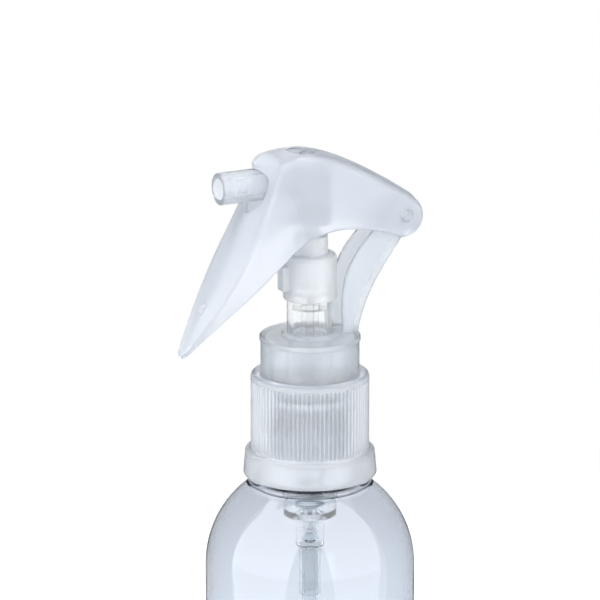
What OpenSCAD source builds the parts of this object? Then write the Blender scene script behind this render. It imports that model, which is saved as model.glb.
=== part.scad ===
// Trigger spray bottle: a clear round bottle with a screw-on mist pump.
// A long lever hinged on an arm behind the pump carries the spout and pushes the plunger down.
// Millimetres. Origin at the middle of the bottle's foot, +Z up, the spout points along -X.

/* [Bottle] */
// Outside diameter of the body, and twice the radius of its round shoulder
bottle_d = 48.4; // [42:0.2:60]
// Height of the straight wall, from the ground to the start of the shoulder
body_h = 60; // [45:0.5:90]
// Wall thickness
bottle_wall = 0.9; // [0.6:0.05:1.4]
// Radius of the heel
heel_r = 5; // [3:0.5:8]
// Rise of the pushed-up base
punt_h = 2.4; // [1:0.1:4]
// Radius of the pushed-up base at the ground
punt_r = 17; // [12:0.5:18]
// Outside diameter of the neck root, above the shoulder
root_d = 28.8; // [27:0.1:30]
// Height of the neck root
root_h = 2; // [1:0.1:4]
// Outside diameter of the neck inside the cap
neck_d = 22; // [18:0.1:24]
// Wall thickness of the neck
neck_wall = 1.9; // [1.4:0.1:2.6]
// Height of the neck above its root
neck_h = 18.6; // [16:0.1:22]

/* [Screw cap] */
// Room for the screw thread between the neck and the cap
thread_room = 1.3; // [1:0.1:1.6]
// Wall thickness of the cap over its ribs
cap_wall = 1.4; // [1.1:0.1:1.8]
// Thickness of the top panel
cap_panel = 1.8; // [1.2:0.1:2.6]
// Radius of the rounded top edge
cap_round = 1; // [0.6:0.1:1.4]
// Number of grip ribs
rib_count = 80; // [48:2:120]
// Depth of a grip rib
rib_depth = 0.35; // [0.2:0.05:0.5]
// Depth of the ribs' upper ends below the cap's top
rib_band = 2.2; // [2.2:0.1:5]
// Step from the ribs out to the smooth skirt
skirt_step = 1.7; // [1:0.1:2.5]
// Height of the skirt
skirt_h = 6.3; // [4:0.1:9]
// Wall thickness of the skirt
skirt_wall = 1.4; // [1:0.1:1.8]
// Outward flare of the skirt towards its lower edge
skirt_flare = 0.4; // [0:0.1:0.8]
// Rounding of the skirt's upper edge and bevel of its lower edge
skirt_edge = 0.8; // [0.4:0.1:1]

/* [Seals and flanges] */
// Thickness of the neck gasket
gasket_t = 1.4; // [0.8:0.1:2]
// Thickness of the pump's two clamped flanges
flange_t = 1.4; // [1:0.1:2]
// Width of the pump base's flange under the cap's top panel
flange_grip = 0.7; // [0.5:0.05:1]

/* [Pump base and arm] */
// Height of the base above the cap
base_rise = 9; // [6:0.1:13]
// Width of the rim round the top of the base
rim_w = 0.3; // [0.1:0.05:0.5]
// Height of that rim
rim_h = 1.6; // [1:0.1:3]
// Wall thickness of the base and arm
base_wall = 1.3; // [1:0.05:1.6]
// Width of the raised ring round the pump cylinder
foot_w = 1.15; // [0.8:0.05:1.6]
// Height of that ring
foot_h = 0.8; // [0.4:0.1:1.5]
// Width of the arm
arm_w = 7.3; // [6:0.1:8]
// Distance of the hinge behind the pump's axis
hinge_back = 22.4; // [20:0.1:26]
// Height of the hinge above the base
hinge_h = 26.8; // [24:0.1:30]
// Diameter of the two hinge pins on the arm
hinge_pin_d = 3; // [2.4:0.1:3.6]
// Radius of the arm's end round the hinge
arm_end_r = 3; // [2.5:0.1:3.2]

/* [Pump] */
// Bore of the pump cylinder
chamber_d = 8.2; // [7:0.1:10]
// Wall thickness of the pump cylinder above the base
barrel_wall = 1.25; // [1:0.05:1.5]
// Step from the bore out to the wider bore of the tail
tail_step = 0.8; // [0.5:0.1:1.2]
// Wall thickness of the tail
tail_wall = 1.2; // [0.9:0.1:1.5]
// Depth of the pump cylinder below the neck's lip
tail_depth = 27; // [22:0.5:34]
// Outside diameter of the valve housing
valve_d = 6.6; // [6:0.1:8]
// Length of the valve housing
valve_h = 5.6; // [5:0.1:8]
// Length of the dip tube's socket
socket_h = 11; // [8:0.5:15]
// Wall of the dip tube's socket
socket_wall = 0.7; // [0.5:0.05:1]
// Diameter of the valve ball
ball_d = 2.4; // [2:0.1:2.6]
// Travel of the valve ball
ball_lift = 1.2; // [0.8:0.1:1.5]
// Outside diameter of the dip tube
dip_d = 3.6; // [3:0.1:4.2]
// Wall thickness of the dip tube
dip_wall = 0.6; // [0.4:0.05:0.8]
// Height of the dip tube's end above the ground
dip_end = 6; // [5:0.5:12]

/* [Plunger] */
// Travel of the plunger
stroke = 6.5; // [5:0.1:7]
// Wall thickness of the guide sleeve
sleeve_wall = 0.7; // [0.6:0.05:1]
// Height of the guide sleeve
sleeve_h = 10.7; // [8.5:0.1:11]
// Height of the guide sleeve's lower edge above the base
sleeve_lift = 8.8; // [8.2:0.1:9.4]
// Depth of the rib on the front of the sleeve
sleeve_rib = 1.5; // [1:0.1:2.5]
// Diameter of the stem above the sleeve
stem_d = 8.2; // [6.5:0.1:8.5]
// Diameter of the stem's ball head
head_d = 5.2; // [4.6:0.1:5.4]
// Diameter of the piston rod
rod_d = 4; // [3.4:0.1:4.4]
// Bore of the stem and the piston rod
rod_bore_d = 1.6; // [1.2:0.1:2]
// Depth of the piston's foot below the neck's lip
piston_depth = 1; // [0:0.1:3]
// Length of the piston seal
seal_l = 5; // [4:0.1:7]

/* [Return spring] */
// Gap between the coils and the pump's bore
spring_room = 0.55; // [0.4:0.05:0.9]
// Wire diameter
spring_wire = 0.7; // [0.5:0.05:0.9]
// Number of coils
spring_turns = 9; // [6:1:11]

/* [Trigger lever] */
// Reach of the lever's tip in front of the pump's axis
tip_reach = 33.4; // [30:0.1:37]
// Height of the tip above the base
tip_h = -0.9; // [-3:0.1:4]
// Height of the crown above the spout tube
crown_over = 2.9; // [2.8:0.05:5]
// Swell of the crown's front over the spout
brow_swell = 4; // [2:0.1:5]
// Half width at the tip
tip_half_w = 1.5; // [1.2:0.1:2.5]
// Gap between the lever's cheeks and the plunger's sleeve
cheek_room = 0.8; // [0.5:0.05:1.5]
// Wall thickness of the lever
lever_wall = 1.2; // [1:0.05:1.3]
// Radius of the lever's end round the hinge
lever_end_r = 4.5; // [4.2:0.1:5.5]
// Diameter of the round window in the crown
window_d = 6; // [5:0.1:7]

/* [Spout] */
// Height of the spout tube above the stem's ball head
spout_over = 7.25; // [6.5:0.05:10]
// Reach of the spout in front of the pump's axis
spout_reach = 23.3; // [20:0.1:28]
// Outside diameter of the spout tube
spout_d = 7.5; // [6.5:0.1:9]
// Bore of the spout tube
spout_bore_d = 4.9; // [4.4:0.1:5.2]
// Wall thickness of the elbow at its mouth
elbow_wall = 0.55; // [0.4:0.05:0.9]
// Length of the nozzle insert
insert_l = 4; // [3:0.1:6]
// Depth of the nozzle insert inside the spout's mouth
insert_depth = 3; // [1:0.1:5]
// Diameter of the spray hole
orifice_d = 0.6; // [0.4:0.05:1]

/* [Clearances] */
// Gap between the cap and the neck root
cap_gap = 0.3; // [0.2:0.05:0.6]
// Radial gap between the pump base's flange and the cap
cap_gap_side = 0.2; // [0.15:0.05:0.3]
// Radial gap of pieces that are fixed in each other
fixed_gap = 0.03; // [0.02:0.01:0.05]
// Radial gap of the hinge pins and of the rod in its guide
running_gap = 0.06; // [0.04:0.01:0.1]
// Radial gap of the sleeve on its cylinder and of the cap on the base
sliding_gap = 0.15; // [0.1:0.01:0.2]
// Side gap between the lever and the arm, and gap round the stem's ball head
free_gap = 0.35; // [0.3:0.05:0.5]

/* [Hidden] */
$fn = 96;
// Overlap of shapes that are cut or joined
eps = 0.01;

// Diameters that follow from the neck's
neck_bore_d = neck_d - 2 * neck_wall;
cap_bore_d = neck_d + 2 * thread_room;
cap_d = cap_bore_d + 2 * cap_wall;
skirt_d = cap_d + 2 * skirt_step;
flange_d = cap_bore_d - 2 * cap_gap_side;
base_d = flange_d - 2 * flange_grip;

// Diameters that follow from the pump's bore
cylinder_d = chamber_d + 2 * barrel_wall;
sleeve_d = cylinder_d + 2 * (sliding_gap + sleeve_wall);
foot_d = cylinder_d + 2 * foot_w;
tail_bore_d = chamber_d + 2 * tail_step;
tail_d = tail_bore_d + 2 * tail_wall;
spring_d = chamber_d - spring_wire - 2 * spring_room;

// Heights of the bottle
bottle_r = bottle_d / 2;
z_root = body_h + sqrt(pow(bottle_r, 2) - pow(root_d / 2, 2));
z_neck = z_root + root_h;
z_lip = z_neck + neck_h;

// Heights of the clamped stack and the cap
z_gasket = z_lip + running_gap;
z_cyl_flange = z_gasket + gasket_t;
z_base_flange = z_cyl_flange + flange_t;
z_cap = z_neck + cap_gap;
z_panel = z_base_flange + flange_t + running_gap;
z_cap_top = z_panel + cap_panel;
z_base = z_cap_top + base_rise;

// Heights of the pump
z_floor = z_lip - tail_depth;
tail_floor = 1.2;
funnel_h = 1.8;
z_valve = z_floor - tail_floor - funnel_h;
z_socket = z_valve - valve_h;
z_dip_top = z_socket - socket_wall;
inlet_h = 1.4;
z_inlet = z_dip_top + inlet_h;
seat_w = 0.45;
ball_r = ball_d / 2;
inlet_r = ball_r - seat_w;
ball_bore_r = ball_r + free_gap;
seat_h = ball_bore_r - inlet_r;
z_ball = z_inlet - inlet_r + (ball_r + fixed_gap) * sqrt(2);
bead_grip = 0.15;
bead_r = ball_r - bead_grip;
z_bead = z_ball + ball_lift + sqrt(pow(ball_r, 2) - pow(bead_r, 2)) + running_gap;
bead_h = 0.5;

// Heights of the plunger, the rod and the seal
z_sleeve = z_base + sleeve_lift;
z_sleeve_top = z_sleeve + sleeve_h;
sleeve_top_t = 1.4;
sleeve_bore_r = cylinder_d / 2 + sliding_gap;
hinge = [hinge_back, z_base + hinge_h];
lever_travel = 2 * atan(stroke / (2 * hinge_back));
z_head = hinge[1] + stroke / 2;
z_stem_top = z_head - head_d;
stem_end = 1;
z_rod_top = z_stem_top - stem_end;
z_rod = z_lip - piston_depth;
step_room = 4.5;
z_step = z_rod - stroke - step_room;
guide_lip = 0.8;
z_cylinder_top = z_sleeve_top - sleeve_top_t - stroke - free_gap - guide_lip;

// Lever and spout
z_spout = z_head + spout_over;
z_crown = z_spout + spout_d / 2 + crown_over;
elbow_mouth = 3.2;
mouth_r = head_d / 2 + 2 * free_gap + elbow_mouth * tan(lever_travel);
elbow_d = 2 * (mouth_r + elbow_wall);
elbow_top = spout_d / 2 + 0.1;
rest_half_w = sleeve_d / 2 + cheek_room + lever_wall;
crown_half_w = max(elbow_d, spout_d) / 2 + free_gap + lever_wall;
hinge_half_w = arm_w / 2 + free_gap + lever_wall;

function mix(a, b, t) = a + (b - a) * t;
function unit(v) = v / norm(v);
// Smooth step from 0 to 1
function ease(t) = t * t * (3 - 2 * t);
// Point of a cubic curve with four control points
function cubic(c, t) = pow(1 - t, 3) * c[0] + 3 * t * pow(1 - t, 2) * c[1]
  + 3 * t * t * (1 - t) * c[2] + pow(t, 3) * c[3];
function curve(c, n) = [for (i = [0:n]) cubic(c, i / n)];
function polar(centre, r, a) = centre + r * [cos(a), sin(a)];

// Half plane to the right of the axis, which keeps a profile ready for turning
module right_half() {
  intersection() {
    children();
    translate([0, -500]) square(1000);
  }
}

// Ring or disc profile between two radii and two heights
module band(r0, r1, z0, z1) {
  translate([r0, z0]) square([r1 - r0, z1 - z0]);
}

// Tapered ring profile on the axis
module taper(r0, r1, z0, z1) {
  polygon([[0, z0], [r0, z0], [r1, z1], [0, z1]]);
}

// Turns a profile drawn with the radius across and the height up
module turned() {
  rotate_extrude() right_half() children();
}

// Bar along Y at a point of the side view
module cross_pin(at, r, half_w) {
  translate([at[0], half_w, at[1]]) rotate([90, 0, 0]) cylinder(r = r, h = 2 * half_w);
}

// Side view drawn with X across and Z up, given a width along Y
module side_plate(width) {
  translate([0, width / 2, 0]) rotate([90, 0, 0]) linear_extrude(width) children();
}

// Body and shoulder of the bottle, drawn smaller by a wall thickness for the inside
module body_outline(inset) {
  r = bottle_r - inset;
  band(0, r, heel_r, body_h);
  band(0, bottle_r - heel_r, inset, heel_r + eps);
  translate([bottle_r - heel_r, heel_r]) circle(heel_r - inset);
  intersection() {
    translate([0, body_h]) circle(r);
    band(0, r, body_h - eps, z_root);
  }
}

// Clear bottle, blown from a moulded neck
module bottle() {
  punt_sphere = (pow(punt_r, 2) + pow(punt_h, 2)) / (2 * punt_h);
  neck_round = 0.6;
  root_round = root_h / 2;
  color("aliceblue", 0.35) turned() difference() {
    union() {
      body_outline(0);
      band(0, root_d / 2, z_root - root_round, z_neck - root_round);
      band(0, root_d / 2 - root_round, z_root, z_neck);
      translate([root_d / 2 - root_round, z_neck - root_round]) circle(root_round);
      band(0, neck_d / 2, z_neck - eps, z_lip - neck_round);
      band(0, neck_d / 2 - neck_round, z_neck, z_lip);
      translate([neck_d / 2 - neck_round, z_lip - neck_round]) circle(neck_round);
    }
    difference() {
      body_outline(bottle_wall);
      translate([0, punt_h - punt_sphere]) circle(punt_sphere + bottle_wall);
    }
    translate([0, punt_h - punt_sphere]) circle(punt_sphere);
    band(-eps, neck_bore_d / 2, body_h, z_lip + eps);
  }
}

// Ribbed screw cap with a wide smooth skirt, which clamps the pump's flange on the neck
module screw_cap() {
  cap_r = cap_d / 2;
  rib_setback = 0.06;
  crest_r = cap_r - rib_setback;
  valley_r = crest_r - rib_depth;
  skirt_r = skirt_d / 2;
  skirt_top_r = skirt_r - skirt_flare;
  z_skirt = z_cap + skirt_h;
  z_ribs = z_cap_top - rib_band;
  rib_angle = 360 / rib_count;
  rib_profile = [
    for (i = [0:rib_count - 1], half = [0, 1])
      polar([0, 0], half == 0 ? valley_r : crest_r, (i + half / 2) * rib_angle)
  ];
  color("whitesmoke") difference() {
    union() {
      turned() {
        band(0, cap_r, z_ribs, z_cap_top - cap_round);
        band(0, cap_r - cap_round, z_cap, z_cap_top);
        translate([cap_r - cap_round, z_cap_top - cap_round]) circle(cap_round);
        taper(skirt_r, skirt_top_r, z_cap + skirt_edge, z_skirt - skirt_edge);
        taper(skirt_r - skirt_edge, skirt_r, z_cap, z_cap + skirt_edge);
        band(0, skirt_top_r - skirt_edge, z_cap, z_skirt);
        translate([skirt_top_r - skirt_edge, z_skirt - skirt_edge]) circle(skirt_edge);
      }
      translate([0, 0, z_cap + skirt_edge]) linear_extrude(z_ribs - z_cap - skirt_edge) polygon(rib_profile);
    }
    translate([0, 0, z_cap - eps]) cylinder(d = cap_bore_d, h = z_panel - z_cap + eps);
    translate([0, 0, z_cap - eps])
      cylinder(r = skirt_r - skirt_wall, h = skirt_h - skirt_wall + eps);
    translate([0, 0, z_cap]) cylinder(r = base_d / 2 + sliding_gap, h = z_cap_top);
  }
}

// Soft ring between the neck's lip and the pump's flange
module neck_gasket() {
  color("white") turned() band(tail_d / 2 + sliding_gap, neck_d / 2, z_gasket, z_cyl_flange);
}

// Side view of the arm: a front and a rear curve that meet round the hinge
module arm_side(front_inset, rear_inset) {
  rear_foot = sqrt(pow(base_d / 2, 2) - pow(arm_w / 2, 2));
  front_foot = sleeve_d / 2 + 2 * free_gap;
  rear = curve([
    [rear_foot, z_base - eps], [rear_foot + 1.8, mix(z_base, hinge[1], 0.36)],
    [mix(rear_foot, hinge[0], 0.6), mix(z_base, hinge[1], 0.58)],
    polar(hinge, arm_end_r, -40)
  ], 14);
  front = curve([
    [front_foot, z_base - eps], [front_foot - 1.4, mix(z_base, hinge[1], 0.56)],
    [mix(front_foot, hinge[0], 0.09), mix(z_base, hinge[1], 0.69)],
    polar(hinge, arm_end_r, 140)
  ], 14);
  polygon(concat(
    [for (p = rear) p - [rear_inset, 0]],
    [for (i = [len(front) - 1:-1:0]) front[i] - [front_inset, 0]]
  ));
}

// Base cup under the pump, with the hinge arm moulded on behind
module pump_base() {
  edge = 0.5;
  base_r = base_d / 2;
  rim_r = base_r + rim_w;
  pocket_h = hinge_h - arm_end_r - base_wall;
  color("whitesmoke") difference() {
    union() {
      turned() {
        band(0, flange_d / 2, z_base_flange, z_base_flange + flange_t);
        band(0, base_r, z_base_flange, z_base - edge);
        taper(base_r, rim_r, z_base - rim_h, z_base - rim_h + 2 * rim_w);
        band(0, rim_r, z_base - rim_h + 2 * rim_w - eps, z_base - edge);
        band(0, rim_r - edge, z_base_flange, z_base);
        translate([rim_r - edge, z_base - edge]) circle(edge);
        band(0, foot_d / 2, z_base - eps, z_base + foot_h);
      }
      difference() {
        side_plate(arm_w) arm_side(0, 0);
        intersection() {
          side_plate(arm_w - 2 * base_wall) arm_side(2 * base_wall + arm_w, base_wall);
          translate([0, -arm_w, z_base + base_wall]) cube([2 * hinge_back, 2 * arm_w, pocket_h]);
        }
      }
      cross_pin(hinge, arm_end_r, arm_w / 2);
      cross_pin(hinge, hinge_pin_d / 2, hinge_half_w);
    }
    turned() {
      band(0, base_r - base_wall, z_base_flange - eps, z_base - base_wall);
      band(0, cylinder_d / 2 + fixed_gap, z_base_flange, z_base + foot_h + eps);
    }
  }
}

// Clear pump cylinder: barrel, clamped flange, tail in the neck, ball valve and dip tube socket
module pump_cylinder() {
  socket_r = dip_d / 2 + socket_wall;
  color("aliceblue", 0.5) turned() difference() {
    union() {
      band(0, cylinder_d / 2, z_cyl_flange, z_cylinder_top);
      band(0, neck_d / 2, z_cyl_flange, z_base_flange);
      band(0, tail_d / 2, z_floor - tail_floor, z_cyl_flange + eps);
      taper(valve_d / 2, tail_d / 2, z_valve, z_floor - tail_floor + eps);
      band(0, valve_d / 2, z_socket, z_valve + eps);
      taper(socket_r, valve_d / 2, z_socket - socket_wall, z_socket + eps);
      band(0, socket_r, z_dip_top - socket_h, z_socket);
    }
    band(0, chamber_d / 2, z_step, z_cylinder_top + eps);
    band(0, tail_bore_d / 2, z_floor, z_step + eps);
    band(0, ball_bore_r, z_bead + bead_h, z_floor + eps);
    band(0, bead_r, z_bead - eps, z_bead + bead_h + eps);
    band(0, ball_bore_r, z_inlet + seat_h, z_bead);
    taper(inlet_r, ball_bore_r, z_inlet, z_inlet + seat_h + eps);
    band(0, inlet_r, z_dip_top - eps, z_inlet + eps);
    band(0, dip_d / 2 + fixed_gap, z_dip_top - socket_h - eps, z_dip_top);
  }
}

// Ring snapped into the top of the cylinder, which guides the rod
module guide_ring() {
  plug_h = 4;
  z_lip_top = z_cylinder_top + guide_lip;
  color("white") turned() difference() {
    union() {
      band(0, cylinder_d / 2, z_cylinder_top, z_lip_top);
      band(0, chamber_d / 2 - fixed_gap, z_cylinder_top - plug_h, z_cylinder_top + eps);
    }
    band(0, rod_d / 2 + running_gap, z_cylinder_top - plug_h - eps, z_lip_top + eps);
  }
}

// Sleeve that slides over the cylinder, with the hollow stem and its ball head
module plunger() {
  edge = 1.2;
  sleeve_r = sleeve_d / 2;
  head_neck_r = head_d / 2 - 0.6;
  rib_w = 3;
  rib_top = 1.2;
  rib_h = 0.55 * sleeve_h;
  color("whitesmoke") difference() {
    union() {
      turned() {
        band(0, sleeve_r, z_sleeve, z_sleeve_top - edge);
        band(0, sleeve_r - edge, z_sleeve, z_sleeve_top);
        translate([sleeve_r - edge, z_sleeve_top - edge]) circle(edge);
        band(0, stem_d / 2, z_sleeve_top - eps, z_stem_top - edge);
        taper(stem_d / 2, head_neck_r, z_stem_top - edge - eps, z_stem_top);
        band(0, head_neck_r, z_stem_top - eps, z_head);
        translate([0, z_head]) circle(d = head_d);
      }
      translate([-sleeve_r - sleeve_rib, -rib_w / 2, z_sleeve_top - edge - rib_top - rib_h])
        cube([sleeve_rib + edge / 2, rib_w, rib_h]);
    }
    turned() {
      band(0, sleeve_bore_r, z_sleeve - eps, z_sleeve_top - sleeve_top_t);
      band(0, rod_d / 2 + fixed_gap, z_sleeve, z_rod_top + fixed_gap);
      band(0, rod_bore_d / 2, z_sleeve, z_head + head_d);
    }
  }
}

// Hollow rod from the plunger's stem down to the piston seal
module piston_rod() {
  side_hole_d = 1;
  color("white") difference() {
    turned() difference() {
      band(0, rod_d / 2, z_rod, z_rod_top);
      band(0, rod_bore_d / 2, z_rod + 2 * rod_bore_d, z_rod_top + eps);
    }
    cross_pin([0, z_rod + seal_l + rod_bore_d], side_hole_d / 2, rod_d);
  }
}

// Soft piston with a lip at each end, on the foot of the rod
module piston_seal() {
  seal_r = chamber_d / 2 - running_gap;
  lip = 0.7;
  lip_depth = 1.4;
  waist = 0.5;
  z0 = z_rod;
  z1 = z_rod + seal_l;
  color("gainsboro") turned() difference() {
    polygon([
      [0, z0], [seal_r, z0], [seal_r, z0 + lip], [seal_r - waist, z0 + lip_depth],
      [seal_r - waist, z1 - lip_depth], [seal_r, z1 - lip], [seal_r, z1], [0, z1]
    ]);
    polygon([[rod_d / 2, z1 + eps], [seal_r - lip / 2, z1 + eps], [rod_d / 2 + lip, z1 - lip_depth]]);
    band(0, rod_d / 2 + fixed_gap, z0 - eps, z1 + eps);
  }
}

// Middle line of the spring's wire: closed end coils and even coils between them
spring_gap = 0.05;
spring_z0 = z_floor + spring_wire / 2 + spring_gap;
spring_z1 = z_rod - spring_wire / 2 - spring_gap;
spring_steps = 8;
end_pitch = spring_wire + 0.5;
function spring_rise(turn) =
  turn < 1 ? end_pitch * turn
  : turn > spring_turns - 1 ? spring_z1 - spring_z0 - end_pitch * (spring_turns - turn)
  : mix(end_pitch, spring_z1 - spring_z0 - end_pitch, (turn - 1) / (spring_turns - 2));
function spring_point(k) =
  let (turn = k / spring_steps)
  [spring_d / 2 * cos(360 * turn), spring_d / 2 * sin(360 * turn), spring_z0 + spring_rise(turn)];
spring_line = [for (k = [0:spring_turns * spring_steps]) spring_point(k)];
spring_gap_least = min([
  for (i = [0:len(spring_line) - 1])
    for (j = [i + spring_steps - 2:1:min(i + spring_steps + 2, len(spring_line) - 1)])
      norm(spring_line[j] - spring_line[i]) - spring_wire
]);

// Wire coil as one unbroken tube of six-sided rings
module return_spring() {
  sides = 6;
  last = len(spring_line) - 1;
  rings = [
    for (k = [0:last])
      let (
        along = unit(spring_line[min(k + 1, last)] - spring_line[max(k - 1, 0)]),
        out = unit([spring_line[k][0], spring_line[k][1], 0]),
        up = cross(along, out)
      )
      for (s = [0:sides - 1])
        spring_line[k] + spring_wire / 2 * (cos(360 * s / sides) * out + sin(360 * s / sides) * up)
  ];
  walls = [
    for (k = [0:last - 1], s = [0:sides - 1])
      let (a = k * sides + s, b = k * sides + (s + 1) % sides)
      each [[a, a + sides, b], [b, a + sides, b + sides]]
  ];
  foot = [for (s = [1:sides - 2]) [0, s, s + 1]];
  top = [for (s = [1:sides - 2]) [last * sides, last * sides + s + 1, last * sides + s]];
  echo(least_gap_between_spring_coils = spring_gap_least);
  color("silver") polyhedron(points = rings, faces = concat(walls, foot, top));
}

// Ball that closes the inlet
module inlet_ball() {
  color("lightsteelblue") translate([0, 0, z_ball]) sphere(d = ball_d);
}

// Straight tube from the valve to the bottom of the bottle, cut aslant at its end
module dip_tube() {
  slant = 30;
  color("white", 0.6) difference() {
    translate([0, 0, dip_end]) cylinder(d = dip_d, h = z_dip_top - dip_end);
    translate([0, 0, dip_end - eps]) cylinder(d = dip_d - 2 * dip_wall, h = z_dip_top);
    translate([-dip_d / 2, 0, dip_end]) rotate([0, -slant, 0])
      translate([0, -dip_d, -2 * dip_d]) cube([2 * dip_d, 2 * dip_d, 2 * dip_d]);
  }
}

// Lever, described by a curve along its outer web and one along the free edges of its two cheeks
tip = [-tip_reach, z_base + tip_h];
brow = [-10.8, z_crown - 2.6];
crown = [-1.5, z_crown];
tail_start = 55;
tail_end = -55;
tail = polar(hinge, lever_end_r, tail_start);
tip_under = tip + [0.9, -0.9];
arch_front = [-3.4, hinge[1] - 2.7];
arch_top = [5, hinge[1] - 1.2];
arch_back = [14, hinge[1] - 2.4];
edge_end = -100;
edge_end_r = lever_end_r + 0.7;
edge_back = polar(hinge, edge_end_r, edge_end);
web_front = [tip, tip + [8, 12.2], brow - [4, 12], brow];
web_crown = [brow, brow + [0.1, 1.9], crown - [7, 0], crown];
web_spine = [crown, crown + [6.4, -0.5], tail - 9 * [sin(tail_start), -cos(tail_start)], tail];
edge_front = [tip_under, tip_under + [8.6, 9.6], arch_front - [8.5, 4.2], arch_front];
edge_crown = [arch_front, arch_front + [1.4, 0.6], arch_top - [3, 0], arch_top];
edge_spine = [arch_top, arch_top + [5, 0], arch_back + [3, -0.8], edge_back];

// Corner radii of the channel along the lever, its swells and where it is widest
tip_round = 0.7;
brow_round = 1.6;
crown_round = 2.6;
hinge_round = 2;
end_round = 1.2;
web_swell = 0.6;
widest = 0.55;
brow_half_w = crown_half_w + 0.6;

// One station of the lever: web point, edge point, half width, corner radius and swell of the web
function front_station(t) = [
  cubic(web_front, t), cubic(edge_front, pow(t, 0.8)),
  t < widest ? mix(tip_half_w, rest_half_w, sin(90 * t / widest))
    : mix(rest_half_w, brow_half_w, ease((t - widest) / (1 - widest))),
  mix(tip_round, brow_round, t), brow_swell * (0.3 * t + 0.7 * pow(t, 5))
];
function crown_station(t) = [
  cubic(web_crown, t), cubic(edge_crown, t), mix(brow_half_w, crown_half_w, t),
  mix(brow_round, crown_round, t), mix(brow_swell, web_swell, ease(min(1.6 * t, 1)))
];
function spine_station(t) = [
  cubic(web_spine, t), cubic(edge_spine, t), mix(crown_half_w, hinge_half_w, ease(t)),
  mix(crown_round, hinge_round, t), web_swell
];
function tail_station(t) = [
  polar(hinge, lever_end_r, mix(tail_start, tail_end, t)),
  polar(hinge, mix(edge_end_r, lever_end_r, t), mix(edge_end, tail_end - 12, t)), hinge_half_w,
  mix(hinge_round, end_round, t), mix(web_swell, 0, t)
];
front_steps = 16;
crown_steps = 7;
spine_steps = 12;
tail_steps = 8;
lever_stations = concat(
  [for (i = [0:front_steps - 1]) front_station(i / front_steps)],
  [for (i = [0:crown_steps - 1]) crown_station(i / crown_steps)],
  [for (i = [0:spine_steps - 1]) spine_station(i / spine_steps)],
  [for (i = [0:tail_steps]) tail_station(i / tail_steps)]
);

// Half of a channel section, from the free edge of a cheek up to the middle of the web.
// It is set in from the outer faces by the web's and the cheek's thickness.
corner_steps = 3;
web_steps = 4;
function half_section(s, web_in, web_t, cheek_t) =
  let (
    depth = norm(s[1] - s[0]),
    down = unit(s[1] - s[0]),
    w = s[2] - cheek_t,
    r = max(min(s[3], 0.8 * s[2], 0.8 * depth) - cheek_t, 0.15),
    top = s[0] + web_t * web_in,
    at = function(q, y) [q[0], y, q[1]],
    left = max(depth - web_t, 0.3)
  )
  concat(
    [at(s[1], w)],
    [for (i = [0:corner_steps]) let (a = 90 * i / corner_steps)
      at(top + min(r, 0.8 * left) * (1 - sin(a)) * down, w - r + r * cos(a))],
    [for (i = [1:web_steps]) let (across = 1 - i / web_steps)
      at(top - s[4] * pow(cos(90 * across), 2) * web_in, (w - r) * across)]
  );
function mirror_y(half) = [for (i = [len(half) - 2:-1:0]) [half[i][0], -half[i][1], half[i][2]]];

module lever_shell() {
  last = len(lever_stations) - 1;
  sections = [
    for (k = [0:last])
      let (
        s = lever_stations[k],
        along = unit(lever_stations[min(k + 1, last)][0] - lever_stations[max(k - 1, 0)][0]),
        web_in = [along[1], -along[0]],
        web_t = min(lever_wall, 0.6 * norm(s[1] - s[0])),
        cheek_t = min(lever_wall, 0.6 * s[2]),
        outer = half_section(s, web_in, 0, 0),
        inner = half_section(s, web_in, web_t, cheek_t)
      )
      concat(outer, mirror_y(outer), [for (loop = [concat(inner, mirror_y(inner))])
        for (i = [len(loop) - 1:-1:0]) loop[i]])
  ];
  ring = len(sections[0]);
  half = ring / 2;
  points = [for (section = sections) each section];
  walls = [
    for (k = [0:last - 1], i = [0:ring - 1])
      let (a = k * ring + i, b = k * ring + (i + 1) % ring)
      each [[a, b, a + ring], [b, b + ring, a + ring]]
  ];
  ends = [
    for (i = [0:half - 2])
      let (a = i, b = i + 1, c = ring - 2 - i, d = ring - 1 - i, z = last * ring)
      each [[a, c, b], [a, d, c], [z + a, z + b, z + c], [z + a, z + c, z + d]]
  ];
  polyhedron(points = points, faces = concat(walls, ends), convexity = 8);
}

// Trigger lever: a channel with two cheeks that hangs on the hinge pins and rests on the stem
module trigger_lever() {
  slot_r = spout_d / 2 + free_gap;
  slot_drop = 1.3;
  slot_l = 14;
  color("ghostwhite") difference() {
    lever_shell();
    cross_pin(hinge, hinge_pin_d / 2 + running_gap, 2 * hinge_half_w);
    translate([0, 0, z_crown - window_d]) cylinder(d = window_d, h = 2 * window_d);
    for (drop = [0, slot_drop])
      translate([-elbow_d / 2, 0, z_spout - drop]) rotate([0, -90, 0]) cylinder(r = slot_r, h = slot_l);
    translate([-elbow_d / 2 - slot_l, -slot_r, z_spout - slot_drop]) cube([slot_l, 2 * slot_r, slot_drop]);
  }
}

// Spout tube and elbow in one moulding, snapped into the lever's window and set on the stem
module spout() {
  boss_d = window_d - 2 * free_gap;
  throat_d = 2;
  color("whitesmoke") difference() {
    union() {
      turned() {
        band(0, elbow_d / 2, z_head - elbow_mouth, z_spout + elbow_top);
        band(0, boss_d / 2, z_spout, z_crown - lever_wall / 2);
      }
      translate([0, 0, z_spout]) rotate([0, -90, 0]) cylinder(d = spout_d, h = spout_reach);
    }
    translate([-elbow_d / 2, 0, z_spout]) rotate([0, -90, 0]) cylinder(d = spout_bore_d, h = spout_reach);
    translate([0, 0, z_spout]) rotate([0, -90, 0]) cylinder(d = throat_d, h = spout_reach);
    translate([0, 0, z_head]) cylinder(d = throat_d, h = z_spout - z_head);
    translate([0, 0, z_head]) sphere(r = head_d / 2 + free_gap);
    translate([0, 0, z_head - elbow_mouth - eps])
      cylinder(r1 = mouth_r, r2 = head_d / 2 + free_gap, h = elbow_mouth + eps);
  }
}

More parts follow.
